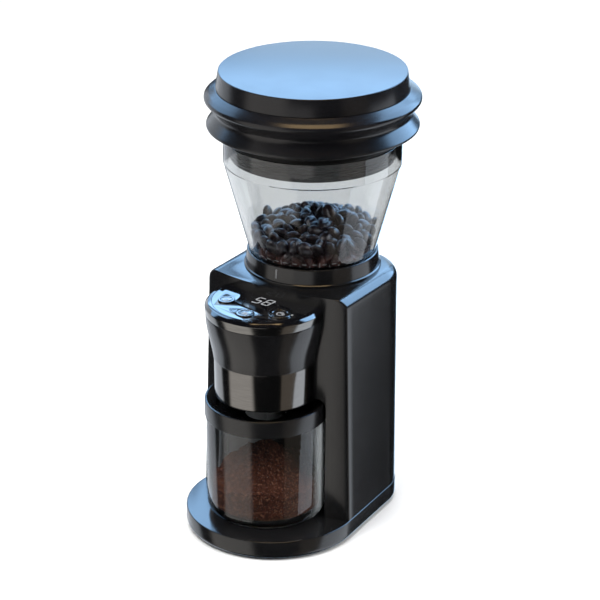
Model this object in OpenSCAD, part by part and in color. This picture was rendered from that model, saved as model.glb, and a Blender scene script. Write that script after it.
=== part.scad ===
// Burr coffee grinder: a tall rounded column on a foot, a control head over a clear jar,
// a clear bean hopper on top and a soft bellows lid. Millimetres, +Z up, front towards -Y.
// Origin: on the resting surface, at the middle of the bounding box.

/* [Column] */
// Height of the column's flat top
column_top = 190.5; // [189.5:0.5:191.5]
// Half width of the column's front face at its top
column_half_top = 59.8; // [58:0.2:61]
// Half width of the column's front face at the foot
column_half_foot = 64.5; // [63:0.5:65]
// Half width of the column behind the front corners
column_half_rear = 60.7; // [60:0.1:60.9]
// Y of the column's rear face
column_rear = 68.1; // [67:0.1:68.2]
// Y of the middle of the front face, at the top
front_top_y = -37.8; // [-38.5:0.1:-37]
// Y of the middle of the front face, at the foot
front_foot_y = -41.3; // [-42:0.1:-40]
// Radius of the bowed front face, seen from above
front_bow = 200; // [150:5:400]
// Radius of the rear vertical corners
rear_corner = 36.5; // [30:0.5:38]
// Rounding along the column's top side and rear edges
top_round = 8.3; // [4:0.1:10]
// Thickness of the moulded walls
wall = 2.5; // [2:0.1:3]

/* [Foot] */
// Height of the foot's deck
foot_top = 15.3; // [15:0.1:16]
// Radius of the foot's round front
foot_radius = 65.3; // [65:0.1:66]
// Y of the centre of the foot's round front
foot_centre_y = -33.7; // [-35:0.1:-33]
// Rounding of the foot's lower edge
foot_round = 4.3; // [3:0.1:4.5]
// Height that the rubber feet lift the casing
foot_gap = 1; // [0.8:0.1:1.2]

/* [Head and jar] */
// Y of the axis shared by the head and the jar
head_y = -43.4; // [-44:0.1:-43]
// Underside of the head
head_bottom = 110.8; // [110.6:0.1:111.2]
// Top of the metal band, where the head starts to flare
band_top = 139.7; // [138:0.1:141]
// Top edge of the head's shell
head_top = 174.1; // [173.5:0.1:174.5]
// Radius of the metal band
band_r = 37.7; // [37.5:0.1:38]
// Radius of the head's shell at its top edge
head_top_r = 43.5; // [43:0.1:44]
// Height of the trim ring on top of the shell
trim_h = 6; // [5:0.1:7]
// Outer radius of the glass jar
jar_r = 44; // [43:0.1:44.2]
// Height of the jar's rim
jar_top = 95; // [94:0.1:96]
// Outer radius of the jar lid
jar_lid_r = 45; // [44.8:0.1:45.4]
// Top of the jar lid
jar_lid_top = 106.4; // [105:0.1:106.4]
// Radius of the recess that the jar stands in
alcove_r = 47; // [46.5:0.1:48]

/* [Hopper and lid] */
// Y of the axis shared by the burrs, the hopper and the lid
burr_y = 20.2; // [20:0.1:20.4]
// Top of the collar around the hopper
collar_top = 203.6; // [203:0.1:204]
// Outer radius of the collar's base
collar_r = 50; // [49.5:0.1:51]
// Radius of the hopper where it leaves the collar
hopper_low_r = 46.8; // [46.6:0.1:46.8]
// Radius of the hopper's rim band
hopper_rim_r = 65.3; // [64:0.1:66]
// Height where the hopper's cone meets its rim band
hopper_cone_top = 271.6; // [268:0.1:274]
// Height of the hopper's rim
hopper_top = 291; // [290.5:0.1:291]
// Thickness of the clear plastic
clear_wall = 2.2; // [1.8:0.1:2.5]
// Largest radius of the bellows' upper fold
fold_upper_r = 78.8; // [77:0.1:79]
// Largest radius of the bellows' lower fold
fold_lower_r = 77.3; // [76:0.1:78.8]
// Top of the lid, and of the whole grinder
overall_h = 340; // [336:0.5:345]

/* [Drive] */
// Gear module of both reduction stages
gear_module = 1; // [1:1:1]
// Teeth on each small gear
pinion_teeth = 12; // [12:1:12]
// Teeth on each large gear
wheel_teeth = 36; // [36:1:36]
// Radius of the drive shaft
shaft_r = 4; // [3.8:0.1:4]
// Radius of the motor can
motor_r = 22; // [20:0.5:22.5]
// Radius of the cone burr's wide lower end
cone_r = 20; // [19:0.5:20]

/* [Hidden] */
$fn = 96;
eps = 0.01;
slice = 0.02;
black = [0.09, 0.09, 0.1];
dark_metal = [0.32, 0.32, 0.34];
steel = [0.75, 0.75, 0.77];
clear = [0.85, 0.9, 0.95, 0.35];

// Casing
deck_under = foot_top - wall;
ceiling = column_top - wall;
foot_wall = 5.5;
cover_z = 1.4;
cover_t = 2;
alcove_roof = head_bottom + wall;
alcove_round = 7;
collar_hole_r = 34.3;
front_corner = 2.5;
rear_draft = 0.4;
foot_ledge = 0.8;
step_h = 1.8;
step_out = 1.8;

// Head
trim_top = head_top + trim_h;
panel_top = 183;
panel_t = 2;
panel_under = panel_top - panel_t;
panel_r = 38.8;
shelf_r = 40.6;
board_z = 171.5;
board_t = 1.6;
board_top = board_z + board_t;
head_wall = 2.2;
boss_x = 35.5;
boss_z = 156;
spout_r = 9;
spout_bottom = 108;
spout_top = 140;
button_arc = 28;
button_top = panel_top + 0.8;
// Each button: angle on the arc, radius of its cap
power_key = [-147.5, 6];
select_key = [-87.5, 6.4];
start_key = [-35, 8];
stem_bottom = board_top + 5;

// Grinding chamber and burrs
chamber_r = 32;
chamber_bore = 29.5;
chamber_z = 136;
chamber_floor = 139.5;
chamber_top = 176;
lug_reach = 40.5;
lug_angles = [45, 135, 225, 315];
lug_top = chamber_top - 0.3;
cone_z = 148;
cone_h = 27.5;
cone_taper = 0.42;
ring_z = 152.5;
ring_h = 16;
ring_bore = 19;
ring_taper = 0.81;
ring_r = 25;
carrier_r = 28.9;
throat_r = 22;
neck_r = 24;
neck_bottom = 181;

// Gear train: burr axis, idler axis, motor axis
motor_y = burr_y + 20;
gear_distance = gear_module * (pinion_teeth + wheel_teeth) / 2;
idler_x = sqrt(pow(gear_distance, 2) - pow((motor_y - burr_y) / 2, 2));
idler_y = (burr_y + motor_y) / 2;
burr_to_idler = atan2(idler_y - burr_y, idler_x);
idler_to_motor = atan2(motor_y - idler_y, -idler_x);
half_tooth = 180 / pinion_teeth;
lower_plate_z = 114;
upper_plate_z = 132;
plate_t = 3;
stage_one_z = 118;
stage_one_h = 5;
stage_two_z = 124;
stage_two_h = 7;
axle_r = 3;
spacer_spots = [[-27, 3], [-27, 52], [42, 3], [42, 52]];

// Boards
power_board_z = 20;

// Points along an arc
function arc(cx, cy, r, a0, a1, n) =
    [for (i = [0:n]) let (a = a0 + (a1 - a0) * i / n) [cx + r * cos(a), cy + r * sin(a)]];

// Plan of the column: bowed front, small front corners, large rear corners
function column_plan(half_front, y_front, half_rear, y_rear, corner_rear) =
    let (cy = y_front + front_bow,
         inner = front_bow - front_corner,
         corner_x = half_front - front_corner,
         corner_y = cy - sqrt(pow(inner, 2) - pow(corner_x, 2)),
         t = asin(corner_x / inner))
    concat(arc(0, cy, front_bow, -90 - t, -90 + t, 16),
        arc(corner_x, corner_y, front_corner, -90 + t, 0, 3),
        arc(half_rear - corner_rear, y_rear - corner_rear, corner_rear, 0, 90, 12),
        arc(corner_rear - half_rear, y_rear - corner_rear, corner_rear, 90, 180, 12),
        arc(-corner_x, corner_y, front_corner, 180, 270 - t, 3));

function foot_plan(inset) =
    concat(arc(0, foot_centre_y, foot_radius - inset, -180, 0, 40),
        arc(column_half_rear + foot_ledge - rear_corner, column_rear + foot_ledge - rear_corner,
            rear_corner - inset, 0, 90, 12),
        arc(rear_corner - column_half_rear - foot_ledge, column_rear + foot_ledge - rear_corner,
            rear_corner - inset, 90, 180, 12));

// How far up the column a height is, from 0 at the foot to 1 at the top
function up(z) = (z - foot_top) / (column_top - foot_top);
function half_at(z) = column_half_foot + (column_half_top - column_half_foot) * up(z);
function front_at(z) = front_foot_y + (front_top_y - front_foot_y) * up(z);

module column_slice(z, inset, front_inset) {
    translate([0, 0, z])
        linear_extrude(slice)
            polygon(column_plan(half_at(z) - inset, front_at(z) + front_inset,
                column_half_rear - inset - rear_draft * up(z),
                column_rear - inset - rear_draft * up(z), rear_corner - inset));
}

// The column's solid outer form, grown by a small clearance where another part is cut to it
module column_form(grow = 0) {
    hull() {
        column_slice(foot_top - 3, -grow, -grow);
        for (a = [0:18:90])
            column_slice(column_top - slice - top_round * (1 - sin(a)) + grow,
                top_round * (1 - cos(a)) - grow, -grow);
    }
}

module column_cavity() {
    inner_round = top_round - wall;
    hull() {
        column_slice(deck_under - 1, wall, wall);
        for (a = [0:22.5:90])
            column_slice(ceiling - slice - inner_round * (1 - sin(a)),
                wall + inner_round * (1 - cos(a)), wall);
    }
}

module foot_slice(z, inset) {
    translate([0, 0, z])
        linear_extrude(slice)
            polygon(foot_plan(inset));
}

module foot_form() {
    hull() {
        for (a = [0:22.5:90])
            foot_slice(foot_gap + foot_round * (1 - sin(a)), foot_round * (1 - cos(a)));
        foot_slice(foot_top - slice, 0);
    }
}

// Low step where the column's front meets the deck
module front_step() {
    translate([0, 0, foot_top - 1])
        linear_extrude(1 + step_h)
            polygon(column_plan(column_half_foot - 0.3, front_foot_y - step_out,
                column_half_rear - 0.3, column_rear - 0.3, rear_corner - 0.3));
}

module at_burr() translate([0, burr_y, 0]) children();
module at_head() translate([0, head_y, 0]) children();
module at_motor() translate([0, motor_y, 0]) children();
module at_idler() translate([idler_x, idler_y, 0]) children();

// Upright cylinder between two heights
module rod(r, z0, z1) translate([0, 0, z0]) cylinder(h = z1 - z0, r = r);

module tube(r_out, r_in, z0, z1) {
    difference() {
        rod(r_out, z0, z1);
        rod(r_in, z0 - 1, z1 + 1);
    }
}

// Recess for the jar, with a rounded top edge
module alcove_cut() {
    at_head()
        rotate_extrude()
            polygon(concat([[0, foot_top + 0.05], [alcove_r, foot_top + 0.05]],
                arc(alcove_r - alcove_round, head_bottom - alcove_round, alcove_round, 0, 90, 8),
                [[0, head_bottom]]));
}

module lug_places() {
    at_burr()
        for (a = lug_angles)
            rotate([0, 0, a]) translate([lug_reach, 0, 0]) children();
}

screw_spots = [[-50, -42], [50, -42], [-51.5, 30], [51.5, 30]];
module cover_screw_places() {
    for (p = screw_spots)
        translate([p[0], p[1], 0]) children();
}

module housing() {
    color(black)
        difference() {
            union() {
                difference() {
                    union() {
                        column_form();
                        foot_form();
                        front_step();
                    }
                    difference() {
                        column_cavity();
                        at_head() rod(alcove_r + wall, 0, alcove_roof);
                    }
                    foot_cavity();
                }
                lug_places() rod(4.5, chamber_top + 0.3, ceiling + 0.5);
                cover_screw_places() rod(5, cover_z + cover_t + 0.1, deck_under + 1);
            }
            alcove_cut();
            at_burr() rod(collar_hole_r, ceiling - 1, column_top + 1);
            lug_places() rod(1.5, chamber_top - 1, ceiling - 1.5);
            cover_screw_places() rod(1.3, cover_z, deck_under - 1);
            spout_window();
            head_screw_places() rotate([90, 0, 0]) rod(1.8, -12, 12);
            gland_place() rotate([90, 0, 0]) rod(5.05, -8, 8);
        }
}

module foot_cavity() {
    translate([0, 0, -1])
        linear_extrude(deck_under + 1)
            polygon(foot_plan(foot_wall));
}

// Opening through the front wall for the outlet spout and its duct
module spout_window() {
    translate([-9.6, head_y - 6, spout_bottom + 1]) cube([19.2, 16.2, 45]);
}

module gland_place() translate([-14, column_rear, 30]) children();

module head_screw_places() {
    for (side = [-1, 1])
        translate([side * boss_x, head_y + 8, boss_z]) children();
}

module bottom_cover() {
    color(black)
        difference() {
            union() {
                translate([0, 0, cover_z])
                    linear_extrude(cover_t)
                        polygon(foot_plan(foot_wall + 0.4));
                for (x = [-30, 30], y = [16, 52])
                    translate([x, y, 0]) rod(3, cover_z + cover_t - 0.5, power_board_z);
            }
            cover_screw_places() rod(1.8, 0, cover_z + cover_t + 1);
            foot_places() rod(8.1, 0, cover_z + 0.5);
            for (i = [-4:4])
                translate([i * 7 - 1.25, 22, 0]) cube([2.5, 26, 10]);
        }
}

foot_spots = [[-38, -66], [38, -66], [-36, 48], [36, 48]];
module foot_places() {
    for (p = foot_spots)
        translate([p[0], p[1], 0]) children();
}

module rubber_feet() {
    color([0.15, 0.15, 0.15])
        foot_places()
            rotate_extrude()
                polygon([[0, 0], [7.4, 0], [8, 0.6], [8, cover_z + 0.45], [0, cover_z + 0.45]]);
}

module cover_screws() {
    color(steel)
        cover_screw_places()
            difference() {
                union() {
                    rod(2.6, foot_gap - 0.4, cover_z - 0.02);
                    rod(1.25, cover_z - 0.1, deck_under - 1.5);
                }
                translate([-2, -0.3, foot_gap - 1]) cube([4, 0.6, 0.9]);
            }
}

module cord_gland() {
    color(black)
        gland_place()
            rotate([-90, 0, 0])
                rotate_extrude()
                    polygon([[3.2, -7], [4.4, -7], [4.4, -4.6], [7, -4.6], [7, -wall - 0.05],
                        [5, -wall - 0.05], [5, 0.05], [7.5, 0.05], [7.5, 1.4], [6.4, 2.4], [3.2, 2.4]]);
}

// Outer radius of the head's flared shell at a height
function head_r(z) =
    let (t = (z - band_top) / (head_top - band_top), flare = head_top_r - band_r - 0.5)
    band_r + 0.5 + flare * (sin(90 * t) + (1 - cos(180 * t)) / 2) / 2;

head_steps = 10;
function head_z(i) = band_top + 0.2 + (head_top - band_top - 0.2) * i / head_steps;

module head_shell() {
    core_r = band_r - 0.9;
    color(black)
        difference() {
            union() {
                at_head()
                    rotate_extrude()
                        polygon(concat(
                            [[core_r - head_wall, head_bottom], [band_r - 0.2, head_bottom],
                             [band_r - 0.2, head_bottom + 0.6], [core_r, head_bottom + 0.6],
                             [core_r, band_top + 0.2]],
                            [for (i = [0:head_steps]) [head_r(head_z(i)), head_z(i)]],
                            [[shelf_r, head_top], [shelf_r, board_z - 0.1], [shelf_r - 3, board_z - 0.1],
                             [head_r(167) - head_wall, 167]],
                            [for (i = [7:-1:0]) [head_r(head_z(i)) - head_wall, head_z(i)]],
                            [[core_r - head_wall, band_top - 1]]));
                head_screw_places() rotate([90, 0, 0]) rod(4.5, 0, 14);
            }
            column_form(0.05);
            head_screw_places() rotate([90, 0, 0]) rod(1.4, -10, 12);
        }
}

module head_trim_ring() {
    color(dark_metal)
        difference() {
            at_head()
                rotate_extrude()
                    polygon([[shelf_r - 1, head_top + 0.02], [head_top_r, head_top + 0.02],
                        [head_top_r + 0.6, trim_top - 0.4], [head_top_r + 0.4, trim_top + 0.4],
                        [panel_r + 3, panel_top - 0.7], [panel_r + 0.15, panel_top + 0.1],
                        [panel_r + 0.15, panel_under - 0.1], [panel_r - 1.5, panel_under - 0.1],
                        [panel_r - 1.5, panel_under - 1.2], [shelf_r - 1, panel_under - 2.5]]);
            column_form(0.05);
        }
}

module head_band() {
    color(steel)
        difference() {
            at_head() tube(band_r, band_r - 0.88, head_bottom + 0.65, band_top + 0.1);
            column_form(0.05);
        }
}

module head_floor() {
    color(black)
        difference() {
            at_head() tube(band_r - 0.9 - head_wall - 0.1, spout_r + 0.15, 112, 114);
            column_form(0.05);
        }
}

module head_screws() {
    color(steel)
        head_screw_places()
            translate([0, 5.4, 0])
                rotate([90, 0, 0])
                    difference() {
                        union() {
                            rod(3, -2.2, 0);
                            rod(1.35, -0.5, 16);
                        }
                        translate([-2, -0.4, -3]) cube([4, 0.8, 1.8]);
                    }
}

module at_key(key) {
    at_head()
        translate([button_arc * cos(key[0]), button_arc * sin(key[0]), 0]) children();
}

module control_panel() {
    color([0.03, 0.03, 0.04])
        difference() {
            at_head() rod(panel_r, panel_under, panel_top);
            for (key = [power_key, select_key, start_key])
                at_key(key) rod(key[1] + 0.3, 0, panel_top + 1);
            column_form(0.05);
        }
}

module display_module() {
    color([0.2, 0.2, 0.22])
        translate([-13, head_y - 9.5, board_top])
            difference() {
                cube([25, 13, 7.7]);
                for (x = [2, 13])
                    translate([x, 2, 7.2]) cube([10, 9, 2]);
            }
}

// Round key: dished cap, retaining flange below the panel, and a stem over its switch
module key_cap(key) {
    r = key[1];
    dish = 0.35;
    color([0.55, 0.56, 0.58])
        at_key(key)
            rotate_extrude()
                polygon([[0, stem_bottom], [1.6, stem_bottom], [1.6, panel_under - 1.3],
                    [r + 0.9, panel_under - 1.3], [r + 0.9, panel_under - 0.4],
                    [r, panel_under - 0.4], [r, button_top - 0.4], [r - 0.4, button_top],
                    [r - 1.4, button_top], [r * 0.5, button_top - dish * 0.8],
                    [0, button_top - dish]]);
}

module power_button() key_cap(power_key);
module select_button() key_cap(select_key);
module start_button() key_cap(start_key);

module dome_switches() {
    color(steel)
        for (key = [power_key, select_key, start_key])
            at_key(key) {
                translate([-3, -3, board_top]) cube([6, 6, 3.2]);
                rod(1.7, board_top + 3.2 - eps, stem_bottom - 1);
            }
}

module control_board() {
    color([0.05, 0.35, 0.15])
        intersection() {
            at_head() rod(shelf_r - 2.2, board_z, board_top);
            translate([-50, head_y - 50, 0]) cube([100, 53, 200]);
        }
}

module outlet_spout() {
    color(black)
        difference() {
            at_head() {
                rod(spout_r, spout_bottom, spout_top);
                difference() {
                    rod(spout_r + 3, 110.9, 111.9);
                    translate([-15, 3.3, 110]) cube([30, 15, 3]);
                }
            }
            at_head() rod(spout_r - 1.5, spout_bottom - 1, spout_top - 1.5);
            duct_bore();
        }
}

// Side profile of the sloping duct, extruded across
module duct_prism(half_w, y_back, y_front, low, high) {
    drop = 0.45;
    rotate([90, 0, 90])
        translate([0, 0, -half_w])
            linear_extrude(2 * half_w)
                polygon([[y_back, low], [y_back, high],
                    [y_front, high - drop * (y_back - y_front)],
                    [y_front, low - drop * (y_back - y_front)]]);
}

module duct_bore() duct_prism(6, burr_y - 26, head_y, 141.4, 150.6);

module grounds_duct() {
    color([0.2, 0.2, 0.2])
        difference() {
            duct_prism(7.6, burr_y - 28, head_y, 139, 152);
            duct_bore();
            at_burr() rod(chamber_r + 0.05, 100, 200);
            at_head() rod(spout_r + 0.05, 80, 200);
        }
}

module hopper_collar() {
    bore = hopper_low_r + 0.1;
    color(black)
        at_burr()
            rotate_extrude()
                polygon([[31, 184], [34, 184], [34, column_top + 0.02], [collar_r + 0.6, column_top + 0.02],
                    [collar_r + 0.6, column_top + 1.4], [collar_r - 0.3, column_top + 2.2],
                    [48.5, collar_top - 0.6], [48, collar_top], [bore, collar_top],
                    [bore, 193], [31, 193]]);
}

module index_mark() {
    color("white")
        at_burr()
            intersection() {
                difference() {
                    rotate_extrude()
                        polygon([[48, 194], [49.75, 194], [48.95, 201.5], [48, 201.5]]);
                    rotate_extrude()
                        polygon([[0, 190], [collar_r - 0.05, 192.7], [48.55, collar_top - 0.6], [0, 205]]);
                }
                translate([-0.7, -60, 190]) cube([1.4, 30, 20]);
            }
}

module hopper() {
    floor_out = 191.5;
    color(clear)
        at_burr() {
            rotate_extrude()
                polygon([[hopper_rim_r - clear_wall, hopper_top],
                    [hopper_rim_r - clear_wall, hopper_cone_top + 0.3],
                    [hopper_low_r - clear_wall - 0.1, collar_top + 1],
                    [throat_r, floor_out + 1.5], [throat_r, neck_bottom], [neck_r, neck_bottom],
                    [neck_r, floor_out], [hopper_low_r - 2.6, 202], [hopper_low_r - 2.6, 195.5],
                    [hopper_low_r - 0.4, 195.5], [hopper_low_r - 0.4, collar_top - 0.4],
                    [hopper_low_r, collar_top + 0.1], [hopper_rim_r, hopper_cone_top],
                    [hopper_rim_r, hopper_top]]);
            hopper_tabs(2.2, 2.4, 188);
        }
}

// Driving tabs on the hopper's neck, or the slots they sit in
module hopper_tabs(half_w, out, z_top) {
    difference() {
        for (side = [-1, 1])
            translate([side * (neck_r + out / 2) - out / 2 - 0.5, -half_w, neck_bottom + 1])
                cube([out + 1, 2 * half_w, z_top - neck_bottom - 1]);
        rod(neck_r - 0.5, neck_bottom - 1, z_top + 1);
    }
}

module adjusting_ring() {
    z0 = 178.6;
    z1 = 190.2;
    color([0.25, 0.25, 0.27])
        at_burr()
            difference() {
                tube(30.6, neck_r + 0.4, z0, z1);
                for (side = [-1, 1])
                    translate([side * 25.5 - 2.2, -2.6, z0 + 1.5]) cube([4.4, 5.2, 20]);
            }
}

// Toothed outline: n straight-sided teeth between two radii
function saw(n, r_in, r_out) =
    [for (i = [0:n - 1], s = [0, 1]) let (a = 360 * (i + 0.45 * s) / n, r = s == 0 ? r_out : r_in)
        [r * cos(a), r * sin(a)]];

module cone_burr() {
    color(dark_metal)
        at_burr()
            difference() {
                translate([0, 0, cone_z])
                    linear_extrude(cone_h, twist = -70, scale = cone_taper, slices = 9, segments = 24)
                        polygon(saw(12, cone_r - 1.6, cone_r));
                rod(shaft_r + 0.02, cone_z - 1, cone_z + cone_h + 1);
            }
}

module ring_burr() {
    color(dark_metal)
        at_burr()
            difference() {
                rod(ring_r, ring_z, ring_z + ring_h);
                translate([0, 0, ring_z - 0.01])
                    linear_extrude(ring_h + 0.02, twist = 30, scale = ring_taper, slices = 5, segments = 36)
                        polygon(saw(18, ring_bore, ring_bore + 1.3));
            }
}

module ring_burr_carrier() {
    color([0.3, 0.3, 0.32])
        at_burr() {
            rotate_extrude()
                polygon([[ring_r + 0.05, 150.5], [carrier_r, 150.5], [carrier_r, 177], [ring_r - 1, 177],
                    [23, 170.5], [23, ring_z + ring_h + 0.1], [ring_r + 0.05, ring_z + ring_h + 0.1]]);
            for (side = [-1, 1])
                translate([side * 29.2 - 1, -2.2, 160]) cube([2, 4.4, 15]);
        }
}

module burr_nut() {
    color(steel)
        at_burr()
            difference() {
                translate([0, 0, cone_z + cone_h + 0.05]) cylinder(h = 4, r = 6.4, $fn = 6);
                rod(3.52, 170, 190);
            }
}

module drive_shaft() {
    color(steel)
        at_burr() {
            rod(shaft_r, lower_plate_z + 0.2, cone_z + cone_h - 1);
            rod(3.5, cone_z + cone_h - 1.5, 180);
        }
}

module sweep_disc() {
    vane_r = 28.6;
    color([0.8, 0.8, 0.75])
        at_burr()
            difference() {
                union() {
                    rod(vane_r, 140.3, 142);
                    rod(7, 140.3, cone_z - 0.05);
                    for (a = [0:90:270])
                        rotate([0, 0, a]) translate([6, -1.2, 141]) cube([vane_r - 6.6, 2.4, 6.5]);
                }
                rod(shaft_r + 0.02, 130, 160);
            }
}

module chamber() {
    color([0.18, 0.18, 0.2])
        difference() {
            union() {
                at_burr() rod(chamber_r, chamber_z, chamber_top);
                lug_places() {
                    rod(5, chamber_top - 4, lug_top);
                    translate([-10.5, -4, chamber_top - 4]) cube([10.5, 8, lug_top - chamber_top + 4]);
                }
            }
            at_burr() {
                rod(chamber_bore, chamber_floor, chamber_top + 1);
                rod(8, chamber_z - 1, chamber_floor + 1);
                for (side = [-1, 1])
                    translate([side * 29 - 2, -2.7, 158]) cube([4, 5.4, 30]);
            }
            lug_places() rod(1.8, chamber_top - 5, chamber_top + 1);
            duct_bore();
        }
}

module chamber_screws() {
    color(steel)
        lug_places()
            difference() {
                union() {
                    rod(3, chamber_top - 6.2, chamber_top - 4.02);
                    rod(1.45, chamber_top - 5, ceiling - 2);
                }
                translate([-2, -0.4, chamber_top - 7]) cube([4, 0.8, 1.8]);
            }
}

module chamber_seal() {
    color([0.6, 0.15, 0.1])
        at_burr() tube(7.98, shaft_r + 0.3, chamber_z + 0.3, chamber_floor - 0.2);
}

module upper_bush() {
    color([0.72, 0.55, 0.3])
        at_burr() tube(6.98, shaft_r + 0.05, upper_plate_z, upper_plate_z + plate_t + 0.5);
}

module lower_bush() {
    color([0.72, 0.55, 0.3])
        at_burr() tube(6.98, shaft_r + 0.05, lower_plate_z, lower_plate_z + plate_t);
}

// Involute gear outline with a little backlash; tooth zero points along +X
backlash = 0.16;
pressure = 20;
function inv(a) = tan(a) - a * PI / 180;
function tooth_half(r, teeth) =
    let (rp = teeth * gear_module / 2,
         rb = rp * cos(pressure),
         at_pitch = (PI * gear_module / 2 - backlash) / 2 / rp)
    r <= rb ? (at_pitch + inv(pressure)) * 180 / PI - (rb - r) * 1.2
        : (at_pitch + inv(pressure) - inv(acos(rb / r))) * 180 / PI;

function gear_outline(teeth) =
    let (rp = teeth * gear_module / 2,
         root = rp - 1.25 * gear_module,
         tip = rp + 0.95 * gear_module,
         steps = 5)
    [for (i = [0:teeth - 1], s = [-1, 1], k = [0:steps])
        let (f = s < 0 ? k / steps : 1 - k / steps,
             r = root + (tip - root) * f,
             a = 360 * i / teeth + s * tooth_half(r, teeth))
        [r * cos(a), r * sin(a)]];

module gear(teeth, z0, h, turn) {
    translate([0, 0, z0])
        rotate([0, 0, turn])
            linear_extrude(h)
                polygon(gear_outline(teeth));
}

module output_gear() {
    color([0.85, 0.85, 0.8])
        at_burr()
            difference() {
                gear(wheel_teeth, stage_two_z, stage_two_h, burr_to_idler);
                rod(shaft_r + 0.02, 100, 150);
                for (a = [0:60:300])
                    rotate([0, 0, a]) translate([10.5, 0, 0]) rod(3.2, 100, 150);
            }
}

module idler_gear() {
    color([0.85, 0.85, 0.8])
        at_idler()
            difference() {
                union() {
                    gear(wheel_teeth, stage_one_z, stage_one_h, idler_to_motor);
                    gear(pinion_teeth, stage_one_z + stage_one_h - 0.5, 8.5,
                        burr_to_idler + 180 + half_tooth);
                }
                rod(axle_r + 0.05, 100, 150);
            }
}

module idler_axle() {
    color(steel)
        at_idler() rod(axle_r, lower_plate_z, upper_plate_z + plate_t);
}

module motor_pinion() {
    color([0.72, 0.55, 0.3])
        at_motor()
            difference() {
                gear(pinion_teeth, stage_one_z - 0.3, stage_one_h + 0.5,
                    idler_to_motor + 180 + half_tooth);
                rod(2.52, 100, 150);
            }
}

module motor_rotor() {
    color([0.6, 0.35, 0.2])
        at_motor() {
            rod(2.5, 43, 123.2);
            for (a = [0:60:300])
                rotate([0, 0, a]) translate([3, -3.2, 62]) cube([9.5, 6.4, 38]);
            rod(7, 62, 100);
            rod(6, 53, 60);
        }
}

module motor_magnets() {
    color([0.25, 0.25, 0.27])
        at_motor()
            difference() {
                tube(motor_r - 1.55, 16, 60, 102);
                for (side = [-1, 1])
                    translate([-30, side * 16 - 5, 50]) cube([60, 10, 60]);
            }
}

module motor_can() {
    color(steel)
        at_motor()
            difference() {
                rod(motor_r, 50, lower_plate_z - 0.05);
                rod(motor_r - 1.5, 49, lower_plate_z - 2);
                rod(2.55, 100, 120);
            }
}

module motor_end_cap() {
    color(black)
        at_motor()
            difference() {
                union() {
                    rod(motor_r, 46, 49.95);
                    rod(motor_r - 1.55, 49, 52);
                    for (side = [-1, 1])
                        translate([side * 14 - 3, -4, 43.5]) cube([6, 8, 4]);
                }
                rod(2.55, 40, 60);
                rod(8, 49.5, 60);
            }
}

// Rounded gearbox plate with its bores
module gear_plate(z0) {
    x0 = -31;
    x1 = 46;
    y0 = -2;
    y1 = 56;
    r = 5;
    color([0.6, 0.6, 0.62])
        difference() {
            union() {
                translate([x0 + r, y0, z0]) cube([x1 - x0 - 2 * r, y1 - y0, plate_t]);
                translate([x0, y0 + r, z0]) cube([x1 - x0, y1 - y0 - 2 * r, plate_t]);
                for (x = [x0 + r, x1 - r], y = [y0 + r, y1 - r])
                    translate([x, y, 0]) rod(r, z0, z0 + plate_t);
            }
            at_burr() rod(7, 0, 200);
            at_idler() rod(axle_r + 0.02, 0, 200);
            spacer_places() rod(1.6, 0, 200);
        }
}

module spacer_places() {
    for (p = spacer_spots)
        translate([p[0], p[1], 0]) children();
}

module lower_gear_plate() {
    difference() {
        gear_plate(lower_plate_z);
        at_motor() rod(4.2, 0, 200);
    }
}

module upper_gear_plate() gear_plate(upper_plate_z);

module plate_spacers() {
    color(steel)
        spacer_places() tube(3.4, 1.6, lower_plate_z + plate_t + 0.02, upper_plate_z - 0.02);
}

module gearbox_screws() {
    color(steel)
        spacer_places()
            difference() {
                union() {
                    rod(1.5, lower_plate_z - 1, upper_plate_z + plate_t);
                    rod(2.9, lower_plate_z - 2.4, lower_plate_z - 0.02);
                }
                translate([-2, -0.4, lower_plate_z - 3]) cube([4, 0.8, 1.6]);
            }
}

module power_board() {
    color([0.05, 0.35, 0.15])
        translate([-36, 11, power_board_z + 0.02]) cube([72, 46, 1.6]);
}

module power_components() {
    z = power_board_z + 1.65;
    color([0.2, 0.2, 0.5]) {
        translate([-32, 15, z]) cube([22, 18, 15]);
        translate([10, 14, z]) cube([12, 14, 12]);
        for (x = [-26, -12, 2])
            translate([x, 46, 0]) rod(5, z, z + 16);
        translate([14, 40, z]) cube([16, 10, 9]);
        translate([26, 18, z]) cube([6, 8, 6]);
    }
}

module hopper_switch() {
    color([0.3, 0.1, 0.1]) {
        translate([-50, burr_y - 10, 176]) cube([6, 20, 9]);
        translate([-49, burr_y - 6, 185 - eps]) cube([4, 3, 2.4]);
    }
}

module lid_base() {
    color(black)
        at_burr()
            rotate_extrude()
                polygon([[57, 276], [61, 276], [61, hopper_top + 0.3], [66, hopper_top + 0.3],
                    [66, 294], [57, 294]]);
}

module lid_gasket() {
    color([0.12, 0.12, 0.12])
        at_burr()
            rotate_extrude()
                polygon([[61.02, 279], [62.1, 279], [62.8, 280.5], [62.1, 282], [62.8, 283.5],
                    [62.1, 285], [61.02, 285]]);
}

bellows_low = 294.02;
bellows_high = 327;
module bellows() {
    color(black)
        at_burr()
            rotate_extrude()
                polygon([[62.5, bellows_low], [66, bellows_low], [fold_lower_r, 298.7], [fold_lower_r, 299.8],
                    [70.2, 310], [fold_upper_r, 320.1], [fold_upper_r, 321.2],
                    [70.2, bellows_high], [67, bellows_high], [fold_upper_r - 2.8, 320.6],
                    [67.6, 310], [fold_lower_r - 2.8, 299.2], [62.5, 295.6]]);
}

module press_cap() {
    rim = overall_h;
    color(black)
        at_burr()
            rotate_extrude()
                polygon([[0, rim - 2.6], [0, rim], [68.1, rim], [68.5, rim - 0.4],
                    [70.2, bellows_high + 0.05], [66, bellows_high + 0.05], [66, rim - 2.6]]);
}

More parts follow.
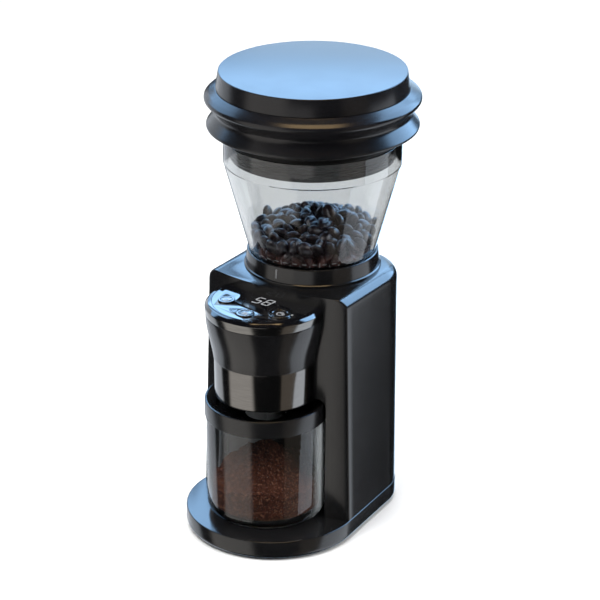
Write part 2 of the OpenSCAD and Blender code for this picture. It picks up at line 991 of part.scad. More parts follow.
module jar() {
    low = foot_top + 0.2;
    corner = 10;
    color(clear)
        at_head()
            rotate_extrude()
                polygon(concat([[0, low]], arc(jar_r - corner, low + corner, corner, -90, 0, 8),
                    [[jar_r, jar_top], [jar_r - clear_wall, jar_top]],
                    arc(jar_r - clear_wall - corner, low + 4 + corner, corner, 0, -90, 8),
                    [[0, low + 4]]));
}

module jar_lid() {
    skirt = jar_r + 0.3;
    plug_r = jar_r - clear_wall - 0.8;
    color(black)
        at_head()
            rotate_extrude()
                polygon([[15, 92], [plug_r, 92], [plug_r, jar_top + 0.3], [skirt, jar_top + 0.3],
                    [skirt, jar_top - 1.8], [jar_lid_r, jar_top - 1.8], [jar_lid_r, jar_lid_top - 0.8],
                    [jar_lid_r - 0.8, jar_lid_top], [jar_lid_r - 1.6, jar_lid_top],
                    [36.5, 102.6], [36, 101.8], [34.5, 97.5], [15, 94]]);
}

module jar_lid_seal() {
    plug_r = jar_r - clear_wall - 0.78;
    color([0.8, 0.8, 0.8])
        at_head() tube(plug_r + 0.5, plug_r, 92.6, 94.4);
}

housing();
bottom_cover();
rubber_feet();
cover_screws();
cord_gland();
head_shell();
head_trim_ring();
head_band();
head_floor();
head_screws();
control_panel();
display_module();
power_button();
select_button();
start_button();
dome_switches();
control_board();
outlet_spout();
grounds_duct();
hopper_collar();
index_mark();
adjusting_ring();
ring_burr();
ring_burr_carrier();
cone_burr();
burr_nut();
drive_shaft();
sweep_disc();
chamber();
chamber_screws();
chamber_seal();
upper_bush();
lower_bush();
output_gear();
idler_gear();
idler_axle();
motor_pinion();
motor_rotor();
motor_magnets();
motor_can();
motor_end_cap();
lower_gear_plate();
upper_gear_plate();
plate_spacers();
gearbox_screws();
power_board();
power_components();
hopper_switch();
hopper();
lid_base();
lid_gasket();
bellows();
press_cap();
jar();
jar_lid();
jar_lid_seal();
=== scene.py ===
"""Looks of the burr coffee grinder: smooth casing, clear hopper and jar, bellows lid, beans, ground
coffee, display, printed scale, materials, light and camera. Metres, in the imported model's frame."""

import math

import bmesh
import bpy
import numpy as np
from mathutils import Matrix, Vector


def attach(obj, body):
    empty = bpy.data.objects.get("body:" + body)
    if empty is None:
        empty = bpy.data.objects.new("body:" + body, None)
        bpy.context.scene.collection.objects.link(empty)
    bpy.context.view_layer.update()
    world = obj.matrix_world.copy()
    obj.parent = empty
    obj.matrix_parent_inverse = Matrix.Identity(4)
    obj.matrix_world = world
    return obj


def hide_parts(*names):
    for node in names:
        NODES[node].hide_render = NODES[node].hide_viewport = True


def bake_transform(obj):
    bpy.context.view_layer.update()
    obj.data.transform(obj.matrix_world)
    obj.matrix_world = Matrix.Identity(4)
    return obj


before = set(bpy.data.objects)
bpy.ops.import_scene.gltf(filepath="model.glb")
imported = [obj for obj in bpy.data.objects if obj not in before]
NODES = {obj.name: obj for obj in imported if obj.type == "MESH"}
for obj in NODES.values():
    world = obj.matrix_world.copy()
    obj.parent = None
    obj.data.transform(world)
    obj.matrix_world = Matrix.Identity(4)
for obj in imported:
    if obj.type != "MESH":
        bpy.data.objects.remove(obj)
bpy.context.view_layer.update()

MM = 0.001

# -------------------------------------------------- driving sizes, mm
HEAD_Y = -43.4          # upright axis of the head, the jar and the recess
BURR_Y = 20.2           # upright axis of the burrs, the hopper and the lid
DECK = 15.3             # top of the foot
COLUMN_TOP = 190.5
ALCOVE_R = 47.0         # recess that holds the jar
HEAD_BOTTOM = 110.8
PANEL_Z = 183.0         # top of the control panel
SHARP = 32              # smallest angle, in degrees, that shows as an edge


# -------------------------------------------------- small geometry helpers
def spread(low, high, parts):
    """Evenly spaced values from low to high."""
    return [low + (high - low) * k / parts for k in range(parts + 1)]


def arc(cx, cy, r, a0, a1, parts):
    """Points along an arc, angles in degrees."""
    return [(cx + r * math.cos(a), cy + r * math.sin(a))
            for a in map(math.radians, spread(a0, a1, parts))]


def between(a, b, parts):
    """Points that split a straight line into parts, without its ends."""
    return [(a[0] + (b[0] - a[0]) * k / parts, a[1] + (b[1] - a[1]) * k / parts)
            for k in range(1, parts)]


def dense(points, step):
    """Extra points along a closed profile, so that it bends smoothly."""
    out = []
    for a, b in zip(points, points[1:] + points[:1]):
        out += [a] + between(a, b, max(1, int(math.dist(a, b) / step)))
    return out


def filleted(points, steps=5):
    """Rounds a closed profile. Each point is (x, y) or (x, y, radius)."""
    out = []
    n = len(points)
    for i, p in enumerate(points):
        here = Vector(p[:2])
        to_a = Vector(points[i - 1][:2]) - here
        to_b = Vector(points[(i + 1) % n][:2]) - here
        if len(p) < 3 or to_a.angle(to_b) > math.pi - 0.02:
            out.append((p[0], p[1]))
            continue
        angle = to_a.angle(to_b)
        reach = min(p[2] / math.tan(angle / 2), to_a.length * 0.49, to_b.length * 0.49)
        r = reach * math.tan(angle / 2)
        a = here + to_a.normalized() * reach
        b = here + to_b.normalized() * reach
        inwards = (to_a.normalized() + to_b.normalized()).normalized()
        centre = here + inwards * (r / math.sin(angle / 2))
        va, vb = a - centre, b - centre
        turn = va.angle_signed(vb)
        for k in range(steps + 1):
            t = -turn * k / steps
            c, s = math.cos(t), math.sin(t)
            out.append((centre.x + va.x * c - va.y * s, centre.y + va.x * s + va.y * c))
    return out


def add_object(name, data):
    ob = bpy.data.objects.new(name, data)
    bpy.context.scene.collection.objects.link(ob)
    return ob


def mesh_object(name, verts, faces, material=None, smooth=True, sharp_deg=SHARP):
    """An object from points in mm."""
    me = bpy.data.meshes.new(name)
    me.from_pydata([Vector(v) * MM for v in verts], [], faces)
    me.validate()
    ob = add_object(name, me)
    finish_mesh(ob, smooth, sharp_deg)
    if material:
        me.materials.append(material)
    return ob


def finish_mesh(ob, smooth=True, sharp_deg=SHARP):
    """Outward normals, smooth faces and sharp edges by angle."""
    bm = bmesh.new()
    bm.from_mesh(ob.data)
    bmesh.ops.remove_doubles(bm, verts=bm.verts, dist=1e-6)
    bmesh.ops.recalc_face_normals(bm, faces=bm.faces)
    for f in bm.faces:
        f.smooth = smooth
    limit = math.radians(sharp_deg)
    for e in bm.edges:
        if len(e.link_faces) == 2 and e.calc_face_angle(0) > limit:
            e.smooth = False
    bm.to_mesh(ob.data)
    bm.free()


def lathe(name, profile, axis_y, material, segments=160, a0=0.0, a1=360.0, sharp_deg=SHARP):
    """Closed profile of (radius, height) turned about the upright axis at (0, axis_y)."""
    full = a1 - a0 >= 360
    rings = segments if full else segments + 1
    on_axis = [r < 1e-6 for r, _ in profile]
    verts, faces, index = [], [], []
    for (r, z), centred in zip(profile, on_axis):
        if centred:
            index.append([len(verts)] * rings)
            verts.append((0, axis_y, z))
            continue
        index.append(range(len(verts), len(verts) + rings))
        for i in range(rings):
            a = math.radians(a0 + (a1 - a0) * i / segments)
            verts.append((r * math.cos(a), axis_y + r * math.sin(a), z))
    n = len(profile)
    for j in range(n):
        k = (j + 1) % n
        if on_axis[j] and on_axis[k]:
            continue
        for i in range(segments):
            i2 = (i + 1) % rings
            quad = [index[j][i], index[j][i2], index[k][i2], index[k][i]]
            faces.append([v for m, v in enumerate(quad) if v != quad[m - 1]])
    if not full:
        faces.append([index[j][0] for j in range(n)])
        faces.append([index[j][-1] for j in reversed(range(n))])
    return mesh_object(name, verts, faces, material, sharp_deg=sharp_deg)


def loft(name, rings, material=None):
    """Closed rings of equal length joined into a solid."""
    n = len(rings[0])
    verts = [v for ring in rings for v in ring]
    faces = []
    for j in range(len(rings) - 1):
        for i in range(n):
            i2 = (i + 1) % n
            faces.append((j * n + i, j * n + i2, (j + 1) * n + i2, (j + 1) * n + i))
    faces.append(list(range(n)))
    faces.append([(len(rings) - 1) * n + i for i in reversed(range(n))])
    return mesh_object(name, verts, faces, material)


def at_heights(plan, *heights):
    """Copies of a plan's points at each height."""
    return [[(p[0], p[1], z) for p in plan] for z in heights]


# faces of a box whose corners come with X changing slowest and Z fastest
BOX_FACES = [(0, 1, 3, 2), (4, 6, 7, 5), (0, 4, 5, 1), (2, 3, 7, 6), (0, 2, 6, 4), (1, 5, 7, 3)]


def mesh_box(name, lo, hi):
    xs, ys, zs = zip(lo, hi)
    return mesh_object(name, [(x, y, z) for x in xs for y in ys for z in zs], BOX_FACES)


def cylinder(name, r, z0, z1, axis_y, segments=160):
    return lathe(name, [(0, z0), (r, z0), (r, z1), (0, z1)], axis_y, None, segments)


def apply_modifiers(ob):
    dg = bpy.context.evaluated_depsgraph_get()
    dg.update()
    me = bpy.data.meshes.new_from_object(ob.evaluated_get(dg))
    ob.modifiers.clear()
    ob.data = me


def combine(ob, tool, operation):
    """Joins the tool's solid to ob or takes it out, and removes the tool."""
    m = ob.modifiers.new("combine", "BOOLEAN")
    m.operation = operation
    m.solver = "EXACT"
    m.object = tool
    apply_modifiers(ob)
    bpy.data.objects.remove(tool)
    return ob


def cut(ob, *tools):
    for tool in tools:
        combine(ob, tool, "DIFFERENCE")
    return ob


def bevelled(ob, width, angle, segments):
    """Small rounding on the sharp edges."""
    m = ob.modifiers.new("bevel", "BEVEL")
    m.width = width * MM
    m.segments = segments
    m.limit_method = "ANGLE"
    m.angle_limit = math.radians(angle)
    apply_modifiers(ob)
    return ob


def moved(ob, x, y):
    ob.data.transform(Matrix.Translation((x * MM, y * MM, 0)))
    return ob


def joined(name, objects):
    bpy.ops.object.select_all(action="DESELECT")
    for ob in objects:
        ob.select_set(True)
    bpy.context.view_layer.objects.active = objects[0]
    bpy.ops.object.join()
    objects[0].name = name
    return objects[0]


def place(ob, body, slot, *nodes):
    """Rides on a body and stands for CAD nodes. slot is not used."""
    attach(ob, body)
    if nodes:
        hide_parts(*nodes)
    return ob


# -------------------------------------------------- materials
class Nodes:
    """Short way to build a material's node tree."""

    def __init__(self, name):
        self.mat = bpy.data.materials.new(name)
        self.mat.use_nodes = True
        self.tree = self.mat.node_tree
        self.bsdf = self.tree.nodes["Principled BSDF"]
        self.coord = self.tree.nodes.new("ShaderNodeTexCoord").outputs["Object"]

    def set(self, **values):
        """Gives the shader's inputs values, or links them to outputs."""
        for key, value in values.items():
            socket = self.bsdf.inputs[key.replace("_", " ")]
            if isinstance(value, bpy.types.NodeSocket):
                self.link(value, socket)
            else:
                socket.default_value = value

    def new(self, kind, values=(), **props):
        """A node with its properties and its named input values."""
        node = self.tree.nodes.new(kind)
        for key, value in props.items():
            setattr(node, key, value)
        for key, value in dict(values).items():
            node.inputs[key].default_value = value
        return node

    def link(self, a, b):
        self.tree.links.new(a, b)

    def textured(self, node, stretch=(1, 1, 1)):
        m = self.new("ShaderNodeMapping", {"Scale": stretch})
        self.link(self.coord, m.inputs["Vector"])
        self.link(m.outputs["Vector"], node.inputs["Vector"])
        return node

    def noise(self, scale, detail=3.0, rough=0.55, stretch=(1, 1, 1)):
        n = self.new("ShaderNodeTexNoise", {"Scale": scale, "Detail": detail, "Roughness": rough})
        return self.textured(n, stretch).outputs["Fac"]

    def voronoi(self, scale, output="Distance"):
        return self.textured(self.new("ShaderNodeTexVoronoi", {"Scale": scale})).outputs[output]

    def ramp(self, fac, stops):
        n = self.new("ShaderNodeValToRGB")
        e = n.color_ramp.elements
        while len(e) < len(stops):
            e.new(0.5)
        for item, (pos, col) in zip(e, stops):
            item.position = pos
            item.color = (*col, 1.0)
        self.link(fac, n.inputs["Fac"])
        return n.outputs["Color"]

    def map_range(self, value, start, end, low, high, kind):
        n = self.new("ShaderNodeMapRange", {"From Min": start, "From Max": end, "To Min": low,
                                            "To Max": high}, interpolation_type=kind)
        self.link(value, n.inputs["Value"])
        return n.outputs["Result"]

    def remap(self, noise, low, high):
        """The middle of a noise's range stretched to run from low to high."""
        return self.map_range(noise, 0.3, 0.7, low, high, "LINEAR")

    def fade(self, value, start, end, low=0.0, high=1.0):
        """Smooth change from low at start to high at end."""
        return self.map_range(value, start, end, low, high, "SMOOTHSTEP")

    def calc(self, operation, *values):
        n = self.new("ShaderNodeMath", operation=operation)
        for value, socket in zip(values, n.inputs):
            self.link(value, socket)
        return n.outputs["Value"]

    def axis(self, name):
        """X, Y or Z of the surface point."""
        split = self.new("ShaderNodeSeparateXYZ")
        self.link(self.coord, split.inputs["Vector"])
        return split.outputs[name]

    def bump(self, height, strength, distance, normal=None):
        n = self.new("ShaderNodeBump", {"Strength": strength, "Distance": distance})
        self.link(height, n.inputs["Height"])
        if normal is not None:
            self.link(normal, n.inputs["Normal"])
        return n.outputs["Normal"]

    def mix_shaders(self, fac, a, b):
        n = self.new("ShaderNodeMixShader")
        for value, socket in zip((fac, a, b), n.inputs):
            self.link(value, socket)
        return n.outputs["Shader"]

    def show(self, shader):
        """Makes a shader the material's surface."""
        self.surface = shader
        self.link(shader, self.tree.nodes["Material Output"].inputs["Surface"])


def plastic(name, dark, light, rough, grain=0.35, coat=0.0, specular=0.5):
    """Moulded plastic: slight colour drift, handling marks in the gloss, fine moulded grain."""
    n = Nodes(name)
    n.set(Specular_IOR_Level=specular, Coat_Weight=coat, Coat_Roughness=0.06)
    fine = n.bump(n.noise(2600, 2), grain, 0.00004)
    n.set(Base_Color=n.ramp(n.noise(14, 4), [(0.3, dark), (0.7, light)]),
          Roughness=n.remap(n.noise(38, 5, 0.65), rough * 0.94, rough * 1.08),
          Normal=n.bump(n.noise(60, 2), 0.06, 0.0004, fine))
    return n.mat


def metal(name, dark, light, rough, stretch=(1, 1, 40), scale=90, bump=0.1):
    """Turned or brushed metal: fine lines across the stretch direction."""
    n = Nodes(name)
    n.set(Metallic=1.0)
    lines = n.noise(scale, 4, 0.6, stretch)
    n.set(Base_Color=n.ramp(lines, [(0.3, dark), (0.7, light)]),
          Roughness=n.remap(lines, rough * 0.8, rough * 1.25),
          Normal=n.bump(lines, bump, 0.00005))
    return n.mat


def clear_plastic(name, low, high, specular=0.5):
    """Clear moulded wall with faint flow marks and a few fine scratches. Light passes straight
    through it to what it holds."""
    n = Nodes(name)
    n.set(Transmission_Weight=1.0, IOR=1.49, Specular_IOR_Level=specular)
    n.set(Base_Color=n.ramp(n.noise(9, 2), [(0.3, low), (0.75, high)]),
          Roughness=n.remap(n.noise(55, 4), 0.015, 0.045),
          Normal=n.bump(n.noise(26, 2), 0.05, 0.0005))
    clear = n.new("ShaderNodeBsdfTransparent", {"Color": (*high, 1)})
    n.show(n.mix_shaders(n.new("ShaderNodeLightPath").outputs["Is Shadow Ray"],
                         n.bsdf.outputs["BSDF"], clear.outputs["BSDF"]))
    return n


def jar_with_painted_veil(name, low, high, painted_veil_share):
    """Clear wall with a pale diffuse veil on its two rear quarters, beside the recess: a painted
    reflection.
    """
    n = clear_plastic(name, low, high, specular=0.36)
    axis_y = HEAD_Y * MM
    rear = n.fade(n.axis("Y"), axis_y - 0.006, axis_y + 0.012, 0.0, painted_veil_share)
    aside = n.fade(n.calc("ABSOLUTE", n.axis("X")), 0.010, 0.032)
    # painted reflection: a pale veil on the rear quarters, kept off the middle
    painted_veil = n.calc("MULTIPLY", n.calc("MULTIPLY", rear, aside),
                   n.remap(n.noise(40, 4, 0.6), 0.85, 1.0))
    veil_film = n.new("ShaderNodeBsdfDiffuse", {"Color": (0.72, 0.76, 0.78, 1)})
    n.show(n.mix_shaders(painted_veil, n.surface, veil_film.outputs["BSDF"]))
    return n


def glowing(name, colour, strength):
    """Lit print with slightly uneven light."""
    n = Nodes(name)
    dim = tuple(c * 0.82 for c in colour)
    n.set(Emission_Strength=strength, Roughness=0.4, Base_Color=(0.2, 0.2, 0.2, 1),
          Emission_Color=n.ramp(n.noise(900, 2), [(0.2, dim), (0.8, colour)]))
    return n.mat


def bean_material():
    """Dark roast: oily, nearly black; paler and redder near the hopper's floor, which is painted
    light on the lower beans.
    """
    n = Nodes("roasted_bean")
    n.set(Specular_IOR_Level=0.45, Coat_Weight=0.25, Coat_Roughness=0.15)
    mottle = n.noise(110, 4, 0.6)
    dark = n.ramp(mottle, [(0.30, (0.005, 0.004, 0.006)), (0.55, (0.011, 0.007, 0.008)),
                           (0.8, (0.036, 0.015, 0.011))])
    painted_light_red = n.ramp(mottle, [(0.30, (0.022, 0.007, 0.005)), (0.55, (0.050, 0.015, 0.010)),
                          (0.8, (0.090, 0.030, 0.018))])
    mix = n.new("ShaderNodeMix", data_type="RGBA")
    # painted light: the lower beans fade to a paler, redder colour
    n.link(n.fade(n.axis("Z"), 0.203, 0.217), mix.inputs["Factor"])
    n.link(painted_light_red, mix.inputs["A"])
    n.link(dark, mix.inputs["B"])
    n.set(Base_Color=mix.outputs["Result"],
          Roughness=n.remap(n.noise(300, 4), 0.28, 0.45),
          Normal=n.bump(n.noise(420, 4, 0.6), 0.22, 0.0003))
    return n.mat


def grounds_material():
    """Ground coffee: reddish brown grains with a few paler flecks."""
    n = Nodes("ground_coffee")
    n.set(Specular_IOR_Level=0.15, Roughness=0.85)
    grey = n.new("ShaderNodeSeparateColor")
    n.link(n.voronoi(900, "Color"), grey.inputs["Color"])
    n.set(Base_Color=n.ramp(grey.outputs["Red"],
                            [(0.0, (0.018, 0.006, 0.004)), (0.45, (0.036, 0.012, 0.007)),
                             (0.85, (0.060, 0.020, 0.011)), (0.98, (0.12, 0.055, 0.033))]),
          Normal=n.bump(n.voronoi(900), 0.6, 0.0006))
    return n.mat


def silicone(name):
    """Soft satin silicone with a very faint bloom."""
    n = Nodes(name)
    n.set(Specular_IOR_Level=0.38, Sheen_Weight=0.02, Sheen_Roughness=0.4,
          Base_Color=n.ramp(n.noise(22, 5, 0.6), [(0.3, (0.004, 0.004, 0.005)),
                                                  (0.75, (0.008, 0.008, 0.009))]),
          Roughness=n.remap(n.noise(30, 4, 0.6), 0.20, 0.25),
          Normal=n.bump(n.noise(1800, 2), 0.06, 0.00004))
    return n.mat


# name, darker colour, lighter colour, roughness
BLACK = plastic("gloss_black_casing", (0.004, 0.004, 0.0045), (0.008, 0.008, 0.0085), 0.17,
                grain=0.08)
SATIN = plastic("satin_black_plastic", (0.003, 0.003, 0.0035), (0.006, 0.006, 0.0065), 0.26,
                grain=0.2)
INNER = plastic("dark_glass_filled_plastic", (0.05, 0.05, 0.052), (0.09, 0.09, 0.095), 0.5,
                grain=0.6)
WHITE = plastic("white_acetal", (0.62, 0.62, 0.58), (0.78, 0.78, 0.74), 0.35)
PLUG = plastic("lid_plug_black", (0.003, 0.003, 0.003), (0.006, 0.006, 0.006), 0.3,
               grain=0.2, specular=0.1)
PANEL = plastic("panel_acrylic", (0.002, 0.002, 0.003), (0.005, 0.005, 0.006), 0.08,
                grain=0.03, coat=0.5, specular=0.6)
BOARD = plastic("circuit_board", (0.008, 0.09, 0.035), (0.015, 0.15, 0.06), 0.4)
PARTS = plastic("component_mouldings", (0.03, 0.03, 0.05), (0.07, 0.07, 0.1), 0.4)
RUBBER = plastic("matt_rubber", (0.004, 0.004, 0.004), (0.009, 0.009, 0.009), 0.6,
                 grain=0.8, specular=0.2)
SEAL = plastic("silicone_seal", (0.42, 0.38, 0.34), (0.55, 0.5, 0.46), 0.5, specular=0.4)
PRINT_DIM = plastic("grey_print", (0.16, 0.16, 0.165), (0.24, 0.24, 0.245), 0.55)
SOFT = silicone("black_silicone")
# name, darker colour, lighter colour, roughness, line stretch, line scale, line depth
CHROME = metal("dark_plated_trim", (0.15, 0.148, 0.145), (0.21, 0.207, 0.20), 0.15,
               (1, 1, 25), 60, 0.03)
KEY_METAL = metal("key_plating", (0.14, 0.143, 0.146), (0.20, 0.204, 0.208), 0.2,
                  (1, 1, 10), 60, 0.03)
BAND = metal("polished_band", (0.15, 0.145, 0.14), (0.20, 0.195, 0.19), 0.12, (1, 1, 60), 80, 0.05)
STEEL = metal("bright_steel", (0.5, 0.5, 0.52), (0.68, 0.68, 0.7), 0.25)
BURR = metal("ground_burr_steel", (0.26, 0.26, 0.28), (0.46, 0.46, 0.48), 0.3,
             (1, 1, 8), 200, 0.3)
BRONZE = metal("sintered_bronze", (0.42, 0.26, 0.1), (0.62, 0.42, 0.2), 0.38)
COPPER = metal("enamelled_copper", (0.35, 0.12, 0.05), (0.62, 0.28, 0.13), 0.3,
               (1, 1, 60), 160, 0.5)
FERRITE = metal("dark_ferrite", (0.03, 0.03, 0.032), (0.07, 0.07, 0.072), 0.6,
                (1, 1, 1), 300, 0.3)
CLEAR = clear_plastic("clear_hopper_wall", (0.88, 0.905, 0.915), (0.93, 0.95, 0.955)).mat
# the jar wall carries a painted reflection veil on its rear quarters
GLASS = jar_with_painted_veil("clear_jar_wall", (0.93, 0.95, 0.95), (0.98, 0.99, 0.99), painted_veil_share=0.48).mat
LED = glowing("led_white", (0.8, 0.84, 0.9), 0.24)
BEANS = bean_material()
GROUNDS = grounds_material()

NODE_MATERIALS = {
    BLACK: ["head_floor", "head_shell", "hopper_collar"],
    SATIN: ["bottom_cover", "cord_gland", "motor_end_cap"],
    INNER: ["grounds_duct", "chamber", "adjusting_ring", "ring_burr_carrier"],
    WHITE: ["sweep_disc", "output_gear", "idler_gear"],
    PRINT_DIM: ["index_mark"],
    PLUG: ["lid_gasket"],
    PANEL: ["control_panel"],
    BURR: ["cone_burr", "ring_burr"],
    STEEL: ["cover_screws", "head_screws", "chamber_screws", "burr_nut", "drive_shaft",
            "idler_axle", "plate_spacers", "gearbox_screws", "dome_switches", "motor_can",
            "lower_gear_plate", "upper_gear_plate"],
    BRONZE: ["upper_bush", "lower_bush", "motor_pinion"],
    FERRITE: ["motor_magnets"],
    COPPER: ["motor_rotor"],
    BOARD: ["control_board", "power_board"],
    PARTS: ["power_components", "display_module", "hopper_switch"],
    RUBBER: ["rubber_feet", "outlet_spout"],
    SEAL: ["chamber_seal", "jar_lid_seal"],
}


def dress_cad_nodes():
    for material, names in NODE_MATERIALS.items():
        for name in names:
            slots = NODES[name].data.materials
            slots.clear()
            slots.append(material)


# -------------------------------------------------- casing
HALF_TOP, HALF_FOOT, HALF_REAR = 59.8, 64.5, 60.7       # half widths
REAR, REAR_CORNER, REAR_DRAFT = 68.1, 36.5, 0.4
FRONT_TOP_Y, FRONT_FOOT_Y, FRONT_BOW, FRONT_CORNER = -37.8, -41.3, 200.0, 2.5
TOP_ROUND = 8.3
COLUMN_LOW = 8.0        # where the column starts, inside the foot
FOOT_R, FOOT_Y, FOOT_ROUND, FOOT_GAP, FOOT_LEDGE = 65.3, -33.7, 4.3, 1.0, 0.3
DECK_ROUND = 0.7
CASING_WALL, RIM_WALL = 2.5, 6  # the wall, and the rim left round the cavity's two ends
RECESS_ROUND = 7.0
CAVITY_LOW, CAVITY_HIGH = 16, COLUMN_TOP - 10
WELL_WALL, WELL_TOP = 5.5, 12.8         # hollow under the foot
TOP_HOLE_R = 34.3
SPOUT_WINDOW = ((-9.6, HEAD_Y - 6, 109), (9.6, HEAD_Y + 10.2, 154))


def up(z):
    """Share of the column's height."""
    return (z - DECK) / (COLUMN_TOP - DECK)


def front_centre_y(z):
    """Centre of the arc that the column's front follows at a height."""
    return FRONT_FOOT_Y + (FRONT_TOP_Y - FRONT_FOOT_Y) * up(z) + FRONT_BOW


def column_ring(z, inset=0.0, front=0.0):
    """Plan of the column at a height, inset on its sides and rear, and on its front by another
    amount."""
    half = HALF_FOOT + (HALF_TOP - HALF_FOOT) * up(z) - inset
    rear_half = HALF_REAR - REAR_DRAFT * up(z) - inset
    rear = REAR - REAR_DRAFT * up(z) - inset
    rc = REAR_CORNER - inset
    cy = front_centre_y(z) + front
    inner = FRONT_BOW - FRONT_CORNER
    cx = half - FRONT_CORNER
    corner_y = cy - math.sqrt(inner ** 2 - cx ** 2)
    t = math.degrees(math.asin(cx / inner))
    plan = arc(0, cy, FRONT_BOW, -90 - t, -90 + t, 72)[:-1]
    plan += arc(cx, corner_y, FRONT_CORNER, -90 + t, 0, 8)
    plan += between((half, corner_y), (rear_half, rear - rc), 10)
    plan += arc(rear_half - rc, rear - rc, rc, 0, 90, 36)
    plan += between((rear_half - rc, rear), (rc - rear_half, rear), 8)
    plan += arc(rc - rear_half, rear - rc, rc, 90, 180, 36)
    plan += between((-rear_half, rear - rc), (-half, corner_y), 10)
    plan += arc(-cx, corner_y, FRONT_CORNER, 180, 270 - t, 8)[:-1]
    return [(x, y, z) for x, y in plan]


def column_solid():
    """The column above the deck, with its rounded top edge."""
    rings = [column_ring(z) for z in spread(COLUMN_LOW, COLUMN_TOP - TOP_ROUND, 40)]
    for a in map(math.radians, spread(0, 90, 12)[1:]):
        rings.append(column_ring(COLUMN_TOP - TOP_ROUND * (1 - math.sin(a)),
                                 TOP_ROUND * (1 - math.cos(a))))
    return loft("column", rings)


def foot_ring(z, inset):
    """Plan of the foot: round in front, with the column's corners behind."""
    half, rear = HALF_REAR + FOOT_LEDGE, REAR + FOOT_LEDGE
    cx, cy = half - REAR_CORNER, rear - REAR_CORNER
    plan = arc(0, FOOT_Y, FOOT_R - inset, -180, 0, 120)
    plan += between((FOOT_R - inset, FOOT_Y), (half - inset, cy), 10)
    plan += arc(cx, cy, REAR_CORNER - inset, 0, 90, 36)
    plan += between((cx, rear - inset), (-cx, rear - inset), 8)
    plan += arc(-cx, cy, REAR_CORNER - inset, 90, 180, 36)
    plan += between((-half + inset, cy), (-FOOT_R + inset, FOOT_Y), 10)
    return [(x, y, z) for x, y in plan]


def foot_solid():
    rings = []
    for a in map(math.radians, spread(90, 0, 12)):
        rings.append(foot_ring(FOOT_GAP + FOOT_ROUND * (1 - math.sin(a)),
                               FOOT_ROUND * (1 - math.cos(a))))
    rings += [foot_ring(9, 0), foot_ring(DECK - DECK_ROUND, 0)]
    for a in map(math.radians, spread(0, 90, 5)[1:]):
        rings.append(foot_ring(DECK - DECK_ROUND + DECK_ROUND * math.sin(a),
                               DECK_ROUND * (1 - math.cos(a))))
    return loft("foot", rings)


def recess_and_wall(name):
    return cylinder(name, ALCOVE_R + CASING_WALL, 0, HEAD_BOTTOM + CASING_WALL, HEAD_Y)


def housing_shell():
    """Column and foot as one smooth moulding, hollow, with the jar recess, the top hole and the
    spout window."""
    shell = combine(column_solid(), foot_solid(), "UNION")
    top_edge = arc(ALCOVE_R - RECESS_ROUND, HEAD_BOTTOM - RECESS_ROUND, RECESS_ROUND, 0, 90, 10)
    recess = [(0, DECK + 0.05), (ALCOVE_R, DECK + 0.05)] + top_edge + [(0, HEAD_BOTTOM)]
    alcove = lathe("alcove", recess, HEAD_Y, None)
    cavity = [column_ring(z, CASING_WALL, CASING_WALL) for z in spread(CAVITY_LOW, CAVITY_HIGH, 10)]
    cavity.append(column_ring(COLUMN_TOP - CASING_WALL, RIM_WALL, CASING_WALL))
    hollow = cut(loft("hollow", cavity), recess_and_wall("keep"))
    well = loft("well", at_heights(foot_ring(0, WELL_WALL), -1.0, WELL_TOP))
    passage = at_heights(column_ring(CAVITY_LOW, RIM_WALL, RIM_WALL), 12.0, 16.5)
    neck = cut(loft("neck", passage), recess_and_wall("keep_low"))
    top_hole = cylinder("top_hole", TOP_HOLE_R, 180, 200, BURR_Y)
    window = mesh_box("window", *SPOUT_WINDOW)
    cut(shell, hollow, well, neck, alcove, top_hole, window)
    finish_mesh(shell)
    shell.name = "housing_shell"
    shell.data.materials.append(BLACK)
    return place(shell, "base", "black_casing", "housing")


# -------------------------------------------------- head
BAND_TOP, BAND_R, HEAD_TOP, HEAD_TOP_R, TRIM_TOP = 139.7, 37.7, 174.1, 43.5, 180.1
PANEL_R, SHELF_R, SHELF_Z = 38.8, 40.6, 171.4
CORE_R = BAND_R - 0.9   # the head's wall behind the band
HEAD_WALL = 2.2
SIDE = 15.5             # degrees that a head piece runs into the column on each side


def head_radius(z):
    """The head flares from the band to its top in an S-shaped line."""
    t = (z - BAND_TOP) / (HEAD_TOP - BAND_TOP)
    flare = HEAD_TOP_R - BAND_R - 0.5
    return BAND_R + 0.5 + flare * (math.sin(math.pi / 2 * t) + (1 - math.cos(math.pi * t)) / 2) / 2


def head_arc(name, profile, material):
    return lathe(name, profile, HEAD_Y, material, 150, -180 - SIDE, SIDE)


